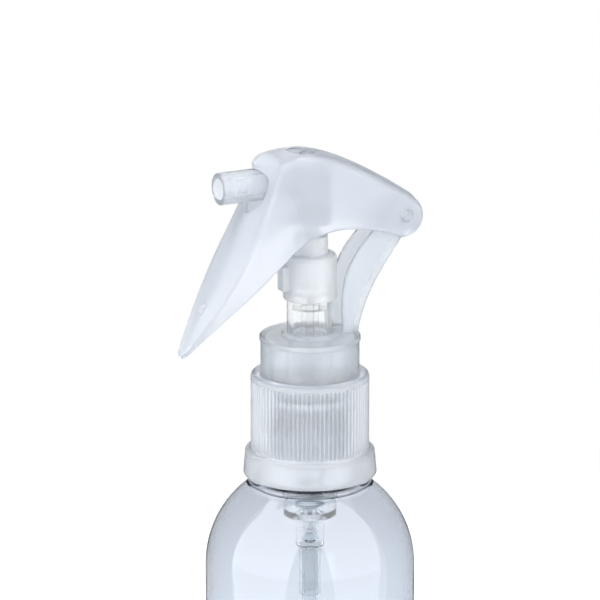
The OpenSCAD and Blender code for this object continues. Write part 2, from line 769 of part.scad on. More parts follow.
// Insert in the spout with the fine spray hole
module nozzle_insert() {
  face_t = 1;
  axis = [0, -90, 0];
  color("white") translate([insert_l + insert_depth - spout_reach, 0, z_spout]) rotate(axis) difference() {
    cylinder(r = spout_bore_d / 2 - fixed_gap, h = insert_l);
    translate([0, 0, -eps]) cylinder(d = spout_bore_d - 2 * face_t, h = insert_l - face_t);
    cylinder(d = orifice_d, h = insert_l + eps);
  }
}

bottle();
screw_cap();
neck_gasket();
pump_base();
pump_cylinder();
guide_ring();
plunger();
piston_rod();
piston_seal();
return_spring();
inlet_ball();
dip_tube();
trigger_lever();
spout();
nozzle_insert();
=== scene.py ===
import math
import bpy
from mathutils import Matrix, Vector


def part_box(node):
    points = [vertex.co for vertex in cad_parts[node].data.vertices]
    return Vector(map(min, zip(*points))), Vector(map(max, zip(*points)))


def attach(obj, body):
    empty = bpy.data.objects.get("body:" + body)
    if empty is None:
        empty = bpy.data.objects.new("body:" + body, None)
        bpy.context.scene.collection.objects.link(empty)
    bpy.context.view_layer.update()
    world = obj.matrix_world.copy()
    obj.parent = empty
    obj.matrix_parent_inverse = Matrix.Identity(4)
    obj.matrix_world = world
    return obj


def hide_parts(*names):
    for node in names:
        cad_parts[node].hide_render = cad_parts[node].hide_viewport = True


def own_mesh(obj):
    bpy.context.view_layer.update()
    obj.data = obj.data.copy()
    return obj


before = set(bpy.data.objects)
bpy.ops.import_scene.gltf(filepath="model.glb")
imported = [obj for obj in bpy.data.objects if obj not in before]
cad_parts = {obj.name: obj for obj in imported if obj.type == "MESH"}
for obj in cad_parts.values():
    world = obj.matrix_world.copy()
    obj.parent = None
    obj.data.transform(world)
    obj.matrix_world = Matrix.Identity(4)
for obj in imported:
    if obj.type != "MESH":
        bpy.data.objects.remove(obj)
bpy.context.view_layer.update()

# Bottle: clear PET, blown from a moulded neck into a round body with a ball shoulder.
# The foot is pushed up so that it stands on a ring. A hollow bead, blown like the body, ends it at the neck.
MM = 0.001
MERGE = 0.001
BOTTLE_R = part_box("bottle")[1].x / MM
LIP_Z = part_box("bottle")[1].z / MM
BODY_H = 60
BOTTLE_WALL = 0.9
HEEL_R = 5
HEEL_FROM = -88
PUNT_R = 17
PUNT_H = 2.4
PUNT_TO = 89.5
ROOT_R = 14.4
ROOT_H = 2
ROOT_UNDER = -60
BEAD_ROUND = 0.6
NECK_R = 11
NECK_BORE_R = 9.1
NECK_FILLET = 0.6
LIP_ROUND = 0.6
LIP_INNER_ROUND = 0.5
SMOOTH_UNDER = 32


def arc(centre, radius, start, end, steps):
    """Points of an arc round (radius, height), in millimetres, between two angles in degrees."""
    angles = [math.radians(start + (end - start) * i / steps) for i in range(steps + 1)]
    return [(centre[0] + radius * math.cos(a), centre[1] + radius * math.sin(a)) for a in angles]


def add_piece(name, material):
    """Takes the active object out of edit mode, names it, shades it smooth and gives it its material."""
    if bpy.context.object.mode == "EDIT":
        bpy.ops.object.mode_set(mode="OBJECT")
    piece = bpy.context.object
    bpy.ops.object.select_all(action="DESELECT")
    piece.select_set(True)
    bpy.ops.object.transform_apply(location=True, rotation=True, scale=True)
    bpy.ops.object.shade_smooth_by_angle(angle=math.radians(SMOOTH_UNDER))
    piece.name = name
    piece.data.name = name
    piece.data.materials.clear()
    piece.data.materials.append(material)
    return piece


def turn(outline, sides=128):
    """Turns an outline of (radius, height) points, in millimetres, round the upright axis.
    An outline that ends where it starts makes a ring, and any other is closed at both ends."""
    ring = outline[0] == outline[-1]
    bpy.ops.object.select_all(action="DESELECT")
    bpy.ops.mesh.primitive_circle_add(
        vertices=sides, radius=outline[0][0] * MM, location=(0, 0, outline[0][1] * MM),
        fill_type="NOTHING" if ring else "TRIFAN")
    start = bpy.context.object.data
    rim = {v.index for v in start.vertices if v.co.length > outline[0][0] * MM / 2}
    bpy.ops.object.mode_set(mode="EDIT")
    bpy.ops.mesh.select_mode(type="EDGE")
    bpy.ops.mesh.select_all(action="DESELECT")
    bpy.ops.object.mode_set(mode="OBJECT")
    for edge in start.edges:
        edge.select = set(edge.vertices) <= rim
    bpy.ops.object.mode_set(mode="EDIT")
    for (r0, z0), (r1, z1) in zip(outline, outline[1:]):
        bpy.ops.mesh.extrude_region_move(TRANSFORM_OT_translate={"value": (0, 0, (z1 - z0) * MM)})
        bpy.ops.transform.resize(value=(r1 / r0, r1 / r0, 1), center_override=(0, 0, z1 * MM))
    if not ring:
        bpy.ops.mesh.edge_face_add()
    bpy.ops.mesh.select_all(action="SELECT")
    bpy.ops.mesh.remove_doubles(threshold=MERGE * MM)
    bpy.ops.mesh.normals_make_consistent(inside=False)
    bpy.ops.object.mode_set(mode="OBJECT")
    bpy.ops.object.transform_apply(location=True, rotation=False, scale=False)
    return bpy.context.object


def linear(hex_colour):
    """An sRGB hex value as a linear colour."""
    parts = [int(hex_colour[i:i + 2], 16) / 255 for i in (1, 3, 5)]
    return [c / 12.92 if c <= 0.04045 else ((c + 0.055) / 1.055) ** 2.4 for c in parts] + [1]


def add_node(tree, kind, settings=(), links=()):
    """Adds a node to a tree, sets its sockets and properties by name and links sockets to it."""
    node = tree.nodes.new(kind)
    for name, value in dict(settings).items():
        if isinstance(name, int) or name in node.inputs:
            node.inputs[name].default_value = value
        else:
            setattr(node, name, value)
    for name, source in dict(links).items():
        tree.links.new(source, node.inputs[name])
    return node


def new_material(name):
    """An empty material, as its node tree and its output node."""
    material = bpy.data.materials.new(name)
    material.use_nodes = True
    material.node_tree.nodes.clear()
    return material, material.node_tree, add_node(material.node_tree, "ShaderNodeOutputMaterial")


# Blown PET is clear and glossy, and a faint blue-grey gathers where the wall is seen edge on.
# Blowing leaves slow waves in the wall, a few millimetres wide, that bend the reflections a little.
PET_WAVE = 9
clear_pet, tree, output = new_material("clear_pet_blown")
place = add_node(tree, "ShaderNodeTexCoord")
wave = add_node(tree, "ShaderNodeTexNoise", {"Scale": 1 / (PET_WAVE * MM), "Detail": 1.0},
                {"Vector": place.outputs["Object"]})
ripple = add_node(tree, "ShaderNodeBump", {"Strength": 0.05, "Distance": 0.5 * MM},
                  {"Height": wave.outputs["Fac"]})
polish = add_node(tree, "ShaderNodeMapRange", {"To Min": 0.015, "To Max": 0.04},
                  {"Value": wave.outputs["Fac"]})
wall = add_node(tree, "ShaderNodeBsdfPrincipled", {
    "Base Color": linear("#E4E8EE"), "IOR": 1.5, "Transmission Weight": 1.0,
}, {"Roughness": polish.outputs["Result"], "Normal": ripple.outputs["Normal"]})
depth = add_node(tree, "ShaderNodeVolumeAbsorption", {"Color": linear("#B3BBC8"), "Density": 75.0})
tree.links.new(wall.outputs["BSDF"], output.inputs["Surface"])
tree.links.new(depth.outputs["Volume"], output.inputs["Volume"])

root_z = BODY_H + math.sqrt(BOTTLE_R ** 2 - ROOT_R ** 2)
neck_z = root_z + ROOT_H
shoulder_end = math.degrees(math.acos(ROOT_R / BOTTLE_R))
inner_r = BOTTLE_R - BOTTLE_WALL
bead_r = ROOT_R - BOTTLE_WALL
bead_end = math.degrees(math.acos(bead_r / inner_r))
bead_top = neck_z - BOTTLE_WALL
heel_centre = (BOTTLE_R - HEEL_R, HEEL_R)
punt_sphere = (PUNT_R ** 2 + PUNT_H ** 2) / (2 * PUNT_H)
punt_centre = (0, PUNT_H - punt_sphere)
punt_angle = math.degrees(math.asin(PUNT_R / punt_sphere))
inner_punt_angle = math.degrees(math.asin((BOTTLE_R - HEEL_R) / (punt_sphere + BOTTLE_WALL)))
bottle_outline = (
    arc(punt_centre, punt_sphere + BOTTLE_WALL, PUNT_TO, 90 - inner_punt_angle, 12)
    + arc(heel_centre, HEEL_R - BOTTLE_WALL, HEEL_FROM, 0, 10)
    + arc((0, BODY_H), inner_r, 0, bead_end, 28)
    + arc((bead_r - BEAD_ROUND, bead_top - BEAD_ROUND), BEAD_ROUND, 0, 90, 6)
    + arc((NECK_BORE_R + BEAD_ROUND, bead_top + BEAD_ROUND), BEAD_ROUND, 270, 180, 6)
    + arc((NECK_BORE_R + LIP_INNER_ROUND, LIP_Z - LIP_INNER_ROUND), LIP_INNER_ROUND, 180, 90, 4)
    + arc((NECK_R - LIP_ROUND, LIP_Z - LIP_ROUND), LIP_ROUND, 90, 0, 4)
    + arc((NECK_R + NECK_FILLET, neck_z + NECK_FILLET), NECK_FILLET, 180, 270, 4)
    + arc((ROOT_R - ROOT_H / 2, neck_z - ROOT_H / 2), ROOT_H / 2, 90, ROOT_UNDER, 10)
    + arc((0, BODY_H), BOTTLE_R, shoulder_end, 0, 28)
    + arc(heel_centre, HEEL_R, 0, HEEL_FROM, 10)
    + arc(punt_centre, punt_sphere, 90 - punt_angle, PUNT_TO, 12)
)
turn(bottle_outline)
bottle = add_piece("bottle_wall", clear_pet)
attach(bottle, "bottle")
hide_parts("bottle")

# Neck thread: one and a half turns of blunt PET thread, moulded with the neck, on which the cap screws.
# It is a piece of its own here, a hair off the wall of the neck, so that no two faces lie in one place.
THREAD_PITCH = 3.175
THREAD_TURNS = 1.5
THREAD_STEPS_PER_TURN = 96
THREAD_Z = LIP_Z - 11
THREAD_PROUD = 1.1
THREAD_ROOT = 1.8
THREAD_CREST = 0.7
SKIN = 0.02


def wind(section, turns, rise, steps):
    """Winds a closed section of (radius, height) corners round the upright axis, in millimetres."""
    bpy.ops.object.select_all(action="DESELECT")
    bpy.ops.mesh.primitive_circle_add(vertices=len(section), radius=MM)
    coil = bpy.context.object
    for corner, (radius, height) in zip(coil.data.vertices, section):
        corner.co = (radius * MM, 0, height * MM)
    screw = coil.modifiers.new("wind", "SCREW")
    screw.angle = 2 * math.pi * turns
    screw.screw_offset = rise * MM
    screw.steps = screw.render_steps = steps
    bpy.ops.object.modifier_apply(modifier=screw.name)
    bpy.ops.object.mode_set(mode="EDIT")
    bpy.ops.mesh.select_all(action="SELECT")
    bpy.ops.mesh.fill_holes(sides=len(section))
    bpy.ops.mesh.normals_make_consistent(inside=False)
    bpy.ops.object.mode_set(mode="OBJECT")
    return coil


wind([
    (NECK_R + SKIN, THREAD_Z - THREAD_ROOT / 2),
    (NECK_R + THREAD_PROUD, THREAD_Z - THREAD_CREST / 2),
    (NECK_R + THREAD_PROUD, THREAD_Z + THREAD_CREST / 2),
    (NECK_R + SKIN, THREAD_Z + THREAD_ROOT / 2),
], THREAD_TURNS, THREAD_PITCH * THREAD_TURNS, round(THREAD_STEPS_PER_TURN * THREAD_TURNS))
neck_thread = add_piece("neck_thread", clear_pet)
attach(neck_thread, "bottle")

# Dip tube: extruded polyethylene, pushed into the socket under the valve and cut aslant near the bottom.
# It is cloudy and draws faint lines along its length, where it left the die.
DRAW_LINE = 0.5
DRAW_STRETCH = 0.02


def dress(material, *nodes):
    """Gives CAD nodes that keep their shape their material."""
    for node in nodes:
        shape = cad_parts[node].data
        shape.materials.clear()
        shape.materials.append(material)


cloudy_pe, tree, output = new_material("polyethylene_extruded")
place = add_node(tree, "ShaderNodeTexCoord")
along = add_node(tree, "ShaderNodeMapping", {"Scale": (1, 1, DRAW_STRETCH)},
                 {"Vector": place.outputs["Object"]})
lines = add_node(tree, "ShaderNodeTexNoise", {"Scale": 1 / (DRAW_LINE * MM), "Detail": 2.0},
                 {"Vector": along.outputs["Vector"]})
haze = add_node(tree, "ShaderNodeMapRange", {"To Min": 0.16, "To Max": 0.26}, {"Value": lines.outputs["Fac"]})
tube = add_node(tree, "ShaderNodeBsdfPrincipled", {
    "Base Color": linear("#FAFCFD"), "IOR": 1.2, "Transmission Weight": 0.95,
}, {"Roughness": haze.outputs["Result"]})
tree.links.new(tube.outputs["BSDF"], output.inputs["Surface"])
dress(cloudy_pe, "dip_tube")

# Pump cylinder: one moulding of clear polypropylene: barrel, clamped flange, tail and valve housing.
# Clear PP has a slight haze, and melt that cools as it flows leaves soft marks that blur it unevenly.
FLOW_MARK = 4
clear_pp, tree, output = new_material("clear_polypropylene_moulded")
place = add_node(tree, "ShaderNodeTexCoord")
flow = add_node(tree, "ShaderNodeTexNoise", {"Scale": 1 / (FLOW_MARK * MM), "Detail": 2.0, "Distortion": 0.6},
                {"Vector": place.outputs["Object"]})
haze = add_node(tree, "ShaderNodeMapRange", {"To Min": 0.06, "To Max": 0.16}, {"Value": flow.outputs["Fac"]})
barrel = add_node(tree, "ShaderNodeBsdfPrincipled", {
    "Base Color": linear("#FAFCFD"), "IOR": 1.33, "Transmission Weight": 0.97,
}, {"Roughness": haze.outputs["Result"]})
tree.links.new(barrel.outputs["BSDF"], output.inputs["Surface"])
dress(clear_pp, "pump_cylinder")

# Inlet ball: a ground glass ball that lies on the valve's cone and lifts as liquid is drawn in.
# Grinding leaves it bright, with a very fine tooth that takes the edge off its shine.
GRIND_TOOTH = 0.15
ball_glass, tree, output = new_material("soda_glass_ground")
place = add_node(tree, "ShaderNodeTexCoord")
tooth = add_node(tree, "ShaderNodeTexNoise", {"Scale": 1 / (GRIND_TOOTH * MM)},
                 {"Vector": place.outputs["Object"]})
polish = add_node(tree, "ShaderNodeMapRange", {"To Min": 0.02, "To Max": 0.1},
                  {"Value": tooth.outputs["Fac"]})
glass = add_node(tree, "ShaderNodeBsdfPrincipled", {
    "Base Color": linear("#DDE6EA"), "IOR": 1.52, "Transmission Weight": 1.0,
}, {"Roughness": polish.outputs["Result"]})
tree.links.new(glass.outputs["BSDF"], output.inputs["Surface"])
dress(ball_glass, "inlet_ball")

# Guide ring, piston rod and nozzle insert: small white mouldings of acetal, a slippery plastic, pressed in.
# A spark-eroded mould gives them a dull satin surface with a fine even grain.
EROSION_GRAIN = 0.3
white_acetal, tree, output = new_material("white_acetal_moulded")
place = add_node(tree, "ShaderNodeTexCoord")
grain = add_node(tree, "ShaderNodeTexNoise", {"Scale": 1 / (EROSION_GRAIN * MM), "Detail": 3.0},
                 {"Vector": place.outputs["Object"]})
satin = add_node(tree, "ShaderNodeMapRange", {"To Min": 0.18, "To Max": 0.26},
                 {"Value": grain.outputs["Fac"]})
bumps = add_node(tree, "ShaderNodeBump", {"Strength": 0.15, "Distance": 0.02 * MM},
                 {"Height": grain.outputs["Fac"]})
body = add_node(tree, "ShaderNodeBsdfPrincipled", {
    "Base Color": linear("#FEFEFF"), "IOR": 1.15, "Transmission Weight": 0.96,
}, {"Roughness": satin.outputs["Result"], "Normal": bumps.outputs["Normal"]})
tree.links.new(body.outputs["BSDF"], output.inputs["Surface"])
dress(white_acetal, "guide_ring", "piston_rod", "nozzle_insert")

# Piston seal: soft polyethylene with a wiping lip at each end, pressed on the foot of the rod.
# It is waxy and a little see-through.
waxy_pe, tree, output = new_material("soft_polyethylene_moulded")
place = add_node(tree, "ShaderNodeTexCoord")
bloom = add_node(tree, "ShaderNodeTexNoise", {"Scale": 1 / (FLOW_MARK * MM), "Detail": 3.0},
                 {"Vector": place.outputs["Object"]})
wax = add_node(tree, "ShaderNodeMapRange", {"To Min": 0.35, "To Max": 0.55}, {"Value": bloom.outputs["Fac"]})
body = add_node(tree, "ShaderNodeBsdfPrincipled", {
    "Base Color": linear("#E9ECEE"), "IOR": 1.45, "Transmission Weight": 0.6,
}, {"Roughness": wax.outputs["Result"]})
tree.links.new(body.outputs["BSDF"], output.inputs["Surface"])
dress(waxy_pe, "piston_seal")

# Neck gasket: a ring punched from foamed polyethylene, squeezed between the lip and the pump's flange.
# Its closed cells are about a third of a millimetre wide and show as small dimples.
FOAM_CELL = 0.35
pe_foam, tree, output = new_material("foamed_polyethylene_punched")
place = add_node(tree, "ShaderNodeTexCoord")
cells = add_node(tree, "ShaderNodeTexVoronoi", {"Scale": 1 / (FOAM_CELL * MM)},
                 {"Vector": place.outputs["Object"]})
dimples = add_node(tree, "ShaderNodeBump", {"Strength": 0.5, "Distance": 0.06 * MM},
                   {"Height": cells.outputs["Distance"]})
# The colour is darker towards the middle of each cell, where its dimple is deepest: painted shade in the
# dimples.
shade = add_node(tree, "ShaderNodeMix", {"data_type": "RGBA", "A": linear("#E4E6E8"), "B": linear("#F7F8F8")},
                 {"Factor": cells.outputs["Distance"]})
body = add_node(tree, "ShaderNodeBsdfPrincipled", {"Roughness": 0.8, "IOR": 1.4},
                {"Base Color": shade.outputs["Result"], "Normal": dimples.outputs["Normal"]})
tree.links.new(body.outputs["BSDF"], output.inputs["Surface"])
dress(pe_foam, "neck_gasket")

# Return spring: hard stainless wire, coiled with closed end turns, from the cylinder's floor to the piston.
# Drawn wire is bright, with fine lines along it. They are drawn coarser here, or they would not show.
SPRING_R = 3.2
WIRE_R = 0.35
WIRE_SIDES = 12
SPRING_TURNS = 9
SPRING_STEPS_PER_TURN = 48
END_PITCH = 1.2
WIRE_LINE = 0.2
steel_wire, tree, output = new_material("stainless_steel_drawn")
place = add_node(tree, "ShaderNodeTexCoord")
lines = add_node(tree, "ShaderNodeTexNoise", {"Scale": 1 / (WIRE_LINE * MM), "Detail": 2.0},
                 {"Vector": place.outputs["Object"]})
shine = add_node(tree, "ShaderNodeMapRange", {"To Min": 0.18, "To Max": 0.36},
                 {"Value": lines.outputs["Fac"]})
steel = add_node(tree, "ShaderNodeBsdfPrincipled", {"Base Color": linear("#C9CCCF"), "Metallic": 1.0},
                 {"Roughness": shine.outputs["Result"]})
tree.links.new(steel.outputs["BSDF"], output.inputs["Surface"])

spring_low, spring_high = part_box("return_spring")
spring_foot = spring_low.z / MM + WIRE_R
spring_rise = spring_high.z / MM - WIRE_R - spring_foot
middle_turns = SPRING_TURNS - 2
middle_rise = spring_rise - 2 * END_PITCH
coil = wind(arc((SPRING_R, spring_foot), WIRE_R, 0, 360, WIRE_SIDES)[:-1], SPRING_TURNS, spring_rise,
            SPRING_TURNS * SPRING_STEPS_PER_TURN)
for point in coil.data.vertices:
    turns = point.index // WIRE_SIDES / SPRING_STEPS_PER_TURN
    middle = min(max(turns - 1, 0), middle_turns)
    closed = (turns - middle) * END_PITCH + middle * middle_rise / middle_turns
    point.co.z += (closed - turns * spring_rise / SPRING_TURNS) * MM
spring = add_piece("spring_coil", steel_wire)
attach(spring, "head")
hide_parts("return_spring")
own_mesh(spring)

# Pump base: natural polypropylene, moulded in one piece with the hinge arm behind it and the two hinge pins.
# The cap clamps the flange at its foot, and the cylinder stands in the ring on its top.
BASE_R = 11.4
BASE_WALL = 1.3
BASE_H = 12.26
FLANGE_R = 12.1
FLANGE_T = 1.4
RIM_R = 11.7
RIM_H = 1.6
FOOT_RING_R = 6.5
FOOT_RING_H = 0.8
BARREL_HOLE_R = 5.38
CUP_CORNER = 0.6
FOOT_RING_EDGE = 0.3
HOLE_EDGE = 0.2
RIM_EDGE = 0.5
RIM_UNDER_EDGE = 0.4
RIM_UNDER_RISE = 0.7
FLANGE_EDGE = 0.2
FLANGE_FILLET = 0.3
ARM_W = 7.3
ARM_STEPS = 40
ARM_SINK = 0.2
ARM_REAR_ROUND = 0.9
ARM_POCKET_ROUND = 0.6
ARM_END_R = 3
ARM_END_EDGE = 0.5
ARM_FRONT_FOOT = 6.9
HINGE_X = 22.4
PIN_R = 1.5
PIN_LENGTH = 10.4
PIN_EDGE = 0.25
SLIVER = 0.002


def natural_polypropylene(name, tints, haze, clear_share, ior=1.33):
    """Natural polypropylene, with slow flow marks from the melt and the fine tooth of an eroded mould."""
    material, tree, output = new_material(name)
    place = add_node(tree, "ShaderNodeTexCoord", {"name": "place"})
    flow = add_node(tree, "ShaderNodeTexNoise", {
        "Scale": 1 / (FLOW_MARK * MM), "Detail": 3.0, "Distortion": 0.8,
    }, {"Vector": place.outputs["Object"]})
    grain = add_node(tree, "ShaderNodeTexNoise", {"Scale": 1 / (EROSION_GRAIN * MM), "Detail": 2.0},
                     {"Vector": place.outputs["Object"]})
    satin = add_node(tree, "ShaderNodeMapRange", {"To Min": haze[0], "To Max": haze[1]},
                     {"Value": flow.outputs["Fac"]})
    milk = add_node(tree, "ShaderNodeMix", {
        "data_type": "RGBA", "A": linear(tints[0]), "B": linear(tints[1]),
    }, {"Factor": flow.outputs["Fac"]})
    tooth = add_node(tree, "ShaderNodeBump", {"Strength": 0.08, "Distance": 0.02 * MM},
                     {"Height": grain.outputs["Fac"]})
    body = add_node(tree, "ShaderNodeBsdfPrincipled", {
        "name": "body", "IOR": ior, "Transmission Weight": clear_share,
    }, {
        "Base Color": milk.outputs["Result"],
        "Roughness": satin.outputs["Result"],
        "Normal": tooth.outputs["Normal"],
    })
    tree.links.new(body.outputs["BSDF"], output.inputs["Surface"])
    return material


# From a polished mould natural polypropylene is nearly clear, with a cold milky tint that veils its inside.
polished_pp = natural_polypropylene(
    "natural_polypropylene_polished", ("#E6ECF2", "#EDF1F6"), (0.2, 0.26), 0.74, 1.4)


def skin(sections):
    """Lays a surface of triangles over closed sections of points, in millimetres, and closes its two ends."""
    across = len(sections[0]) + 1
    bpy.ops.object.select_all(action="DESELECT")
    bpy.ops.mesh.primitive_grid_add(x_subdivisions=across - 1, y_subdivisions=len(sections) - 1, size=MM)
    shell = bpy.context.object
    for vertex in shell.data.vertices:
        section = sections[vertex.index // across]
        vertex.co = Vector(section[vertex.index % across % len(section)]) * MM
    bpy.ops.object.mode_set(mode="EDIT")
    bpy.ops.mesh.select_all(action="SELECT")
    bpy.ops.mesh.remove_doubles(threshold=MERGE * MM)
    bpy.ops.mesh.fill_holes(sides=across)
    bpy.ops.mesh.select_all(action="SELECT")
    bpy.ops.mesh.quads_convert_to_tris(quad_method="BEAUTY", ngon_method="BEAUTY")
    bpy.ops.mesh.normals_make_consistent(inside=False)
    bpy.ops.object.mode_set(mode="OBJECT")
    return shell


def pick(piece):
    """Makes a piece the only one selected, and the active one."""
    bpy.ops.object.select_all(action="DESELECT")
    bpy.context.view_layer.objects.active = piece
    piece.select_set(True)


def combine(piece, other, operation):
    """Joins a second mesh to a piece, or cuts it out of the piece, and removes that mesh."""
    pick(piece)
    step = piece.modifiers.new("combine", "BOOLEAN")
    step.operation = operation
    step.solver = "EXACT"
    step.object = other
    bpy.ops.object.modifier_apply(modifier=step.name)
    bpy.data.objects.remove(other)


def drop_slivers(piece):
    """Splits a cut piece's many-sided faces into triangles and takes out those that have no area."""
    pick(piece)
    bpy.ops.object.mode_set(mode="EDIT")
    bpy.ops.mesh.select_mode(type="FACE")
    bpy.ops.mesh.select_all(action="DESELECT")
    bpy.ops.mesh.select_face_by_sides(number=4, type="GREATER")
    bpy.ops.mesh.quads_convert_to_tris(quad_method="BEAUTY", ngon_method="BEAUTY")
    bpy.ops.mesh.select_all(action="SELECT")
    bpy.ops.mesh.dissolve_degenerate(threshold=SLIVER * MM)
    bpy.ops.object.mode_set(mode="OBJECT")


def cross_bar(centre, radius, length, edge):
    """A bar with rounded ends that lies across the object, at a point of its side view."""
    half = length / 2 - edge
    rim = arc((radius - edge, -half), edge, -90, 0, 4) + arc((radius - edge, half), edge, 0, 90, 4)
    bar = turn(rim, 64)
    bar.rotation_euler = (math.pi / 2, 0, 0)
    bar.location = (centre[0] * MM, 0, centre[1] * MM)
    return bar


def cubic(corners, t):
    """A point of a curve with four control points."""
    weights = ((1 - t) ** 3, 3 * t * (1 - t) ** 2, 3 * t * t * (1 - t), t ** 3)
    return sum((w * Vector(c) for w, c in zip(weights, corners)), Vector((0, 0)))


def polar(centre, radius, angle):
    """A point at an angle, in degrees, round a centre."""
    return Vector(centre) + radius * Vector((math.cos(math.radians(angle)), math.sin(math.radians(angle))))


flange_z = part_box("pump_base")[0].z / MM
base_z = flange_z + BASE_H
hinge = Vector((HINGE_X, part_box("pump_base")[1].z / MM - ARM_END_R))
cup_outline = (
    arc((BASE_R - BASE_WALL - CUP_CORNER, base_z - BASE_WALL - CUP_CORNER), CUP_CORNER, 0, 90, 4)
    + [(BARREL_HOLE_R, base_z - BASE_WALL)]
    + arc((BARREL_HOLE_R + HOLE_EDGE, base_z + FOOT_RING_H - HOLE_EDGE), HOLE_EDGE, 180, 90, 3)
    + arc((FOOT_RING_R - FOOT_RING_EDGE, base_z + FOOT_RING_H - FOOT_RING_EDGE), FOOT_RING_EDGE, 90, 0, 4)
    + arc((FOOT_RING_R + FOOT_RING_EDGE, base_z + FOOT_RING_EDGE), FOOT_RING_EDGE, 180, 270, 4)
    + arc((RIM_R - RIM_EDGE, base_z - RIM_EDGE), RIM_EDGE, 90, 0, 5)
    + arc((RIM_R - RIM_UNDER_EDGE, base_z - RIM_H + RIM_UNDER_RISE), RIM_UNDER_EDGE, 0, -45, 3)
    + [(BASE_R, base_z - RIM_H)]
    + arc((BASE_R + FLANGE_FILLET, flange_z + FLANGE_T + FLANGE_FILLET), FLANGE_FILLET, 180, 270, 3)
    + arc((FLANGE_R - FLANGE_EDGE, flange_z + FLANGE_T - FLANGE_EDGE), FLANGE_EDGE, 90, 0, 2)
    + [(FLANGE_R, flange_z), (BASE_R - BASE_WALL, flange_z)]
)
base = turn(cup_outline + cup_outline[:1], 160)

# The arm's two curves, each with four control points, follow the outline of the real one.
arm_rise = hinge.y - base_z
arm_rear_foot = math.sqrt(BASE_R ** 2 - (ARM_W / 2) ** 2)
rear_curve = [
    (arm_rear_foot, base_z - ARM_SINK), (arm_rear_foot + 1.8, base_z + 0.36 * arm_rise),
    (arm_rear_foot + 0.6 * (HINGE_X - arm_rear_foot), base_z + 0.58 * arm_rise),
    polar(hinge, ARM_END_R, -40),
]
front_curve = [
    (ARM_FRONT_FOOT, base_z - ARM_SINK), (ARM_FRONT_FOOT - 1.4, base_z + 0.56 * arm_rise),
    (ARM_FRONT_FOOT + 0.09 * (HINGE_X - ARM_FRONT_FOOT), base_z + 0.69 * arm_rise),
    polar(hinge, ARM_END_R, 140),
]


def arm_section(t):
    """A channel across the arm, open to the front, with rounded lips and rear corners."""
    front = cubic(front_curve, t)
    rear = cubic(rear_curve, t)
    depth = (rear - front).length
    lip = BASE_WALL / 2
    half = (
        arc((lip, ARM_W / 2 - lip), lip, 180, 90, 5)
        + arc((depth - ARM_REAR_ROUND, ARM_W / 2 - ARM_REAR_ROUND), ARM_REAR_ROUND, 90, 0, 5)
    )
    pocket_corner = (depth - BASE_WALL - ARM_POCKET_ROUND, ARM_W / 2 - BASE_WALL - ARM_POCKET_ROUND)
    pocket = (
        arc(pocket_corner, ARM_POCKET_ROUND, 0, 90, 4)
        + arc((lip, ARM_W / 2 - lip), lip, 270, 190, 4)
    )
    outside = half + [(d, -y) for d, y in reversed(half)]
    inside = [(d, -y) for d, y in reversed(pocket)] + pocket
    back = (rear - front) / depth
    return [(front.x + d * back.x, y, front.y + d * back.y) for d, y in outside + inside]


combine(base, skin([arm_section(i / ARM_STEPS) for i in range(ARM_STEPS + 1)]), "UNION")
knuckle = cross_bar(hinge, ARM_END_R, ARM_W - 2 * SKIN, ARM_END_EDGE)
combine(knuckle, cross_bar(hinge, PIN_R, PIN_LENGTH, PIN_EDGE), "UNION")
combine(base, knuckle, "UNION")
drop_slivers(base)
base = add_piece("base_and_arm", polished_pp)
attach(base, "head")
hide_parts("pump_base")

# Plunger: natural polypropylene, with a sleeve that slides over the barrel, a hollow stem and a ball head.
# A short rib stands on the front of the sleeve. The stem is pressed on the piston rod.
SLEEVE_R = 6.2
SLEEVE_BORE_R = 5.5
SLEEVE_H = 10.7
SLEEVE_TOP_T = 1.4
SLEEVE_EDGE = 1.2
SLEEVE_CORNER = 0.4
SLEEVE_FOOT_EDGE = 0.25
SLEEVE_FLARE = 0.2
SLEEVE_FLARE_H = 0.3
STEM_R = 4.1
STEM_RISE = 5.35
STEM_ROUND = 0.5
STEM_SLOPE = 1.4
STEM_SLOPE_FROM = 50
HEAD_R = 2.6
HEAD_NECK_R = 2
ROD_SOCKET_R = 2.03
ROD_SOCKET_RISE = 4.38
ROD_BORE_R = 0.8
RIB_DEPTH = 1.5
RIB_W = 3
RIB_H = 5.9
RIB_FOOT = 2.4
RIB_SINK = 0.6
RIB_EDGE = 0.4

sleeve_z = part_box("plunger")[0].z / MM
sleeve_top = sleeve_z + SLEEVE_H
stem_top = sleeve_top + STEM_RISE
head_z = stem_top + 2 * HEAD_R
plunger_outline = (
    [(SLEEVE_BORE_R, sleeve_z + SLEEVE_FLARE_H)]
    + arc((SLEEVE_BORE_R - SLEEVE_CORNER, sleeve_top - SLEEVE_TOP_T - SLEEVE_CORNER), SLEEVE_CORNER, 0, 90, 3)
    + [(ROD_SOCKET_R, sleeve_top - SLEEVE_TOP_T), (ROD_SOCKET_R, sleeve_top + ROD_SOCKET_RISE)]
    + [(ROD_BORE_R, sleeve_top + ROD_SOCKET_RISE)]
    + arc((0, head_z), HEAD_R, math.degrees(math.acos(ROD_BORE_R / HEAD_R)),
          -math.degrees(math.acos(HEAD_NECK_R / HEAD_R)), 14)
    + [(HEAD_NECK_R, stem_top)]
    + arc((STEM_R - STEM_ROUND, stem_top - STEM_SLOPE), STEM_ROUND, STEM_SLOPE_FROM, 0, 3)
    + arc((STEM_R + STEM_ROUND, sleeve_top + STEM_ROUND), STEM_ROUND, 180, 270, 4)
    + arc((SLEEVE_R - SLEEVE_EDGE, sleeve_top - SLEEVE_EDGE), SLEEVE_EDGE, 90, 0, 7)
    + arc((SLEEVE_R - SLEEVE_FOOT_EDGE, sleeve_z + SLEEVE_FOOT_EDGE), SLEEVE_FOOT_EDGE, 0, -90, 3)
    + [(SLEEVE_BORE_R + SLEEVE_FLARE, sleeve_z)]
)
plunger = turn(plunger_outline + plunger_outline[:1])
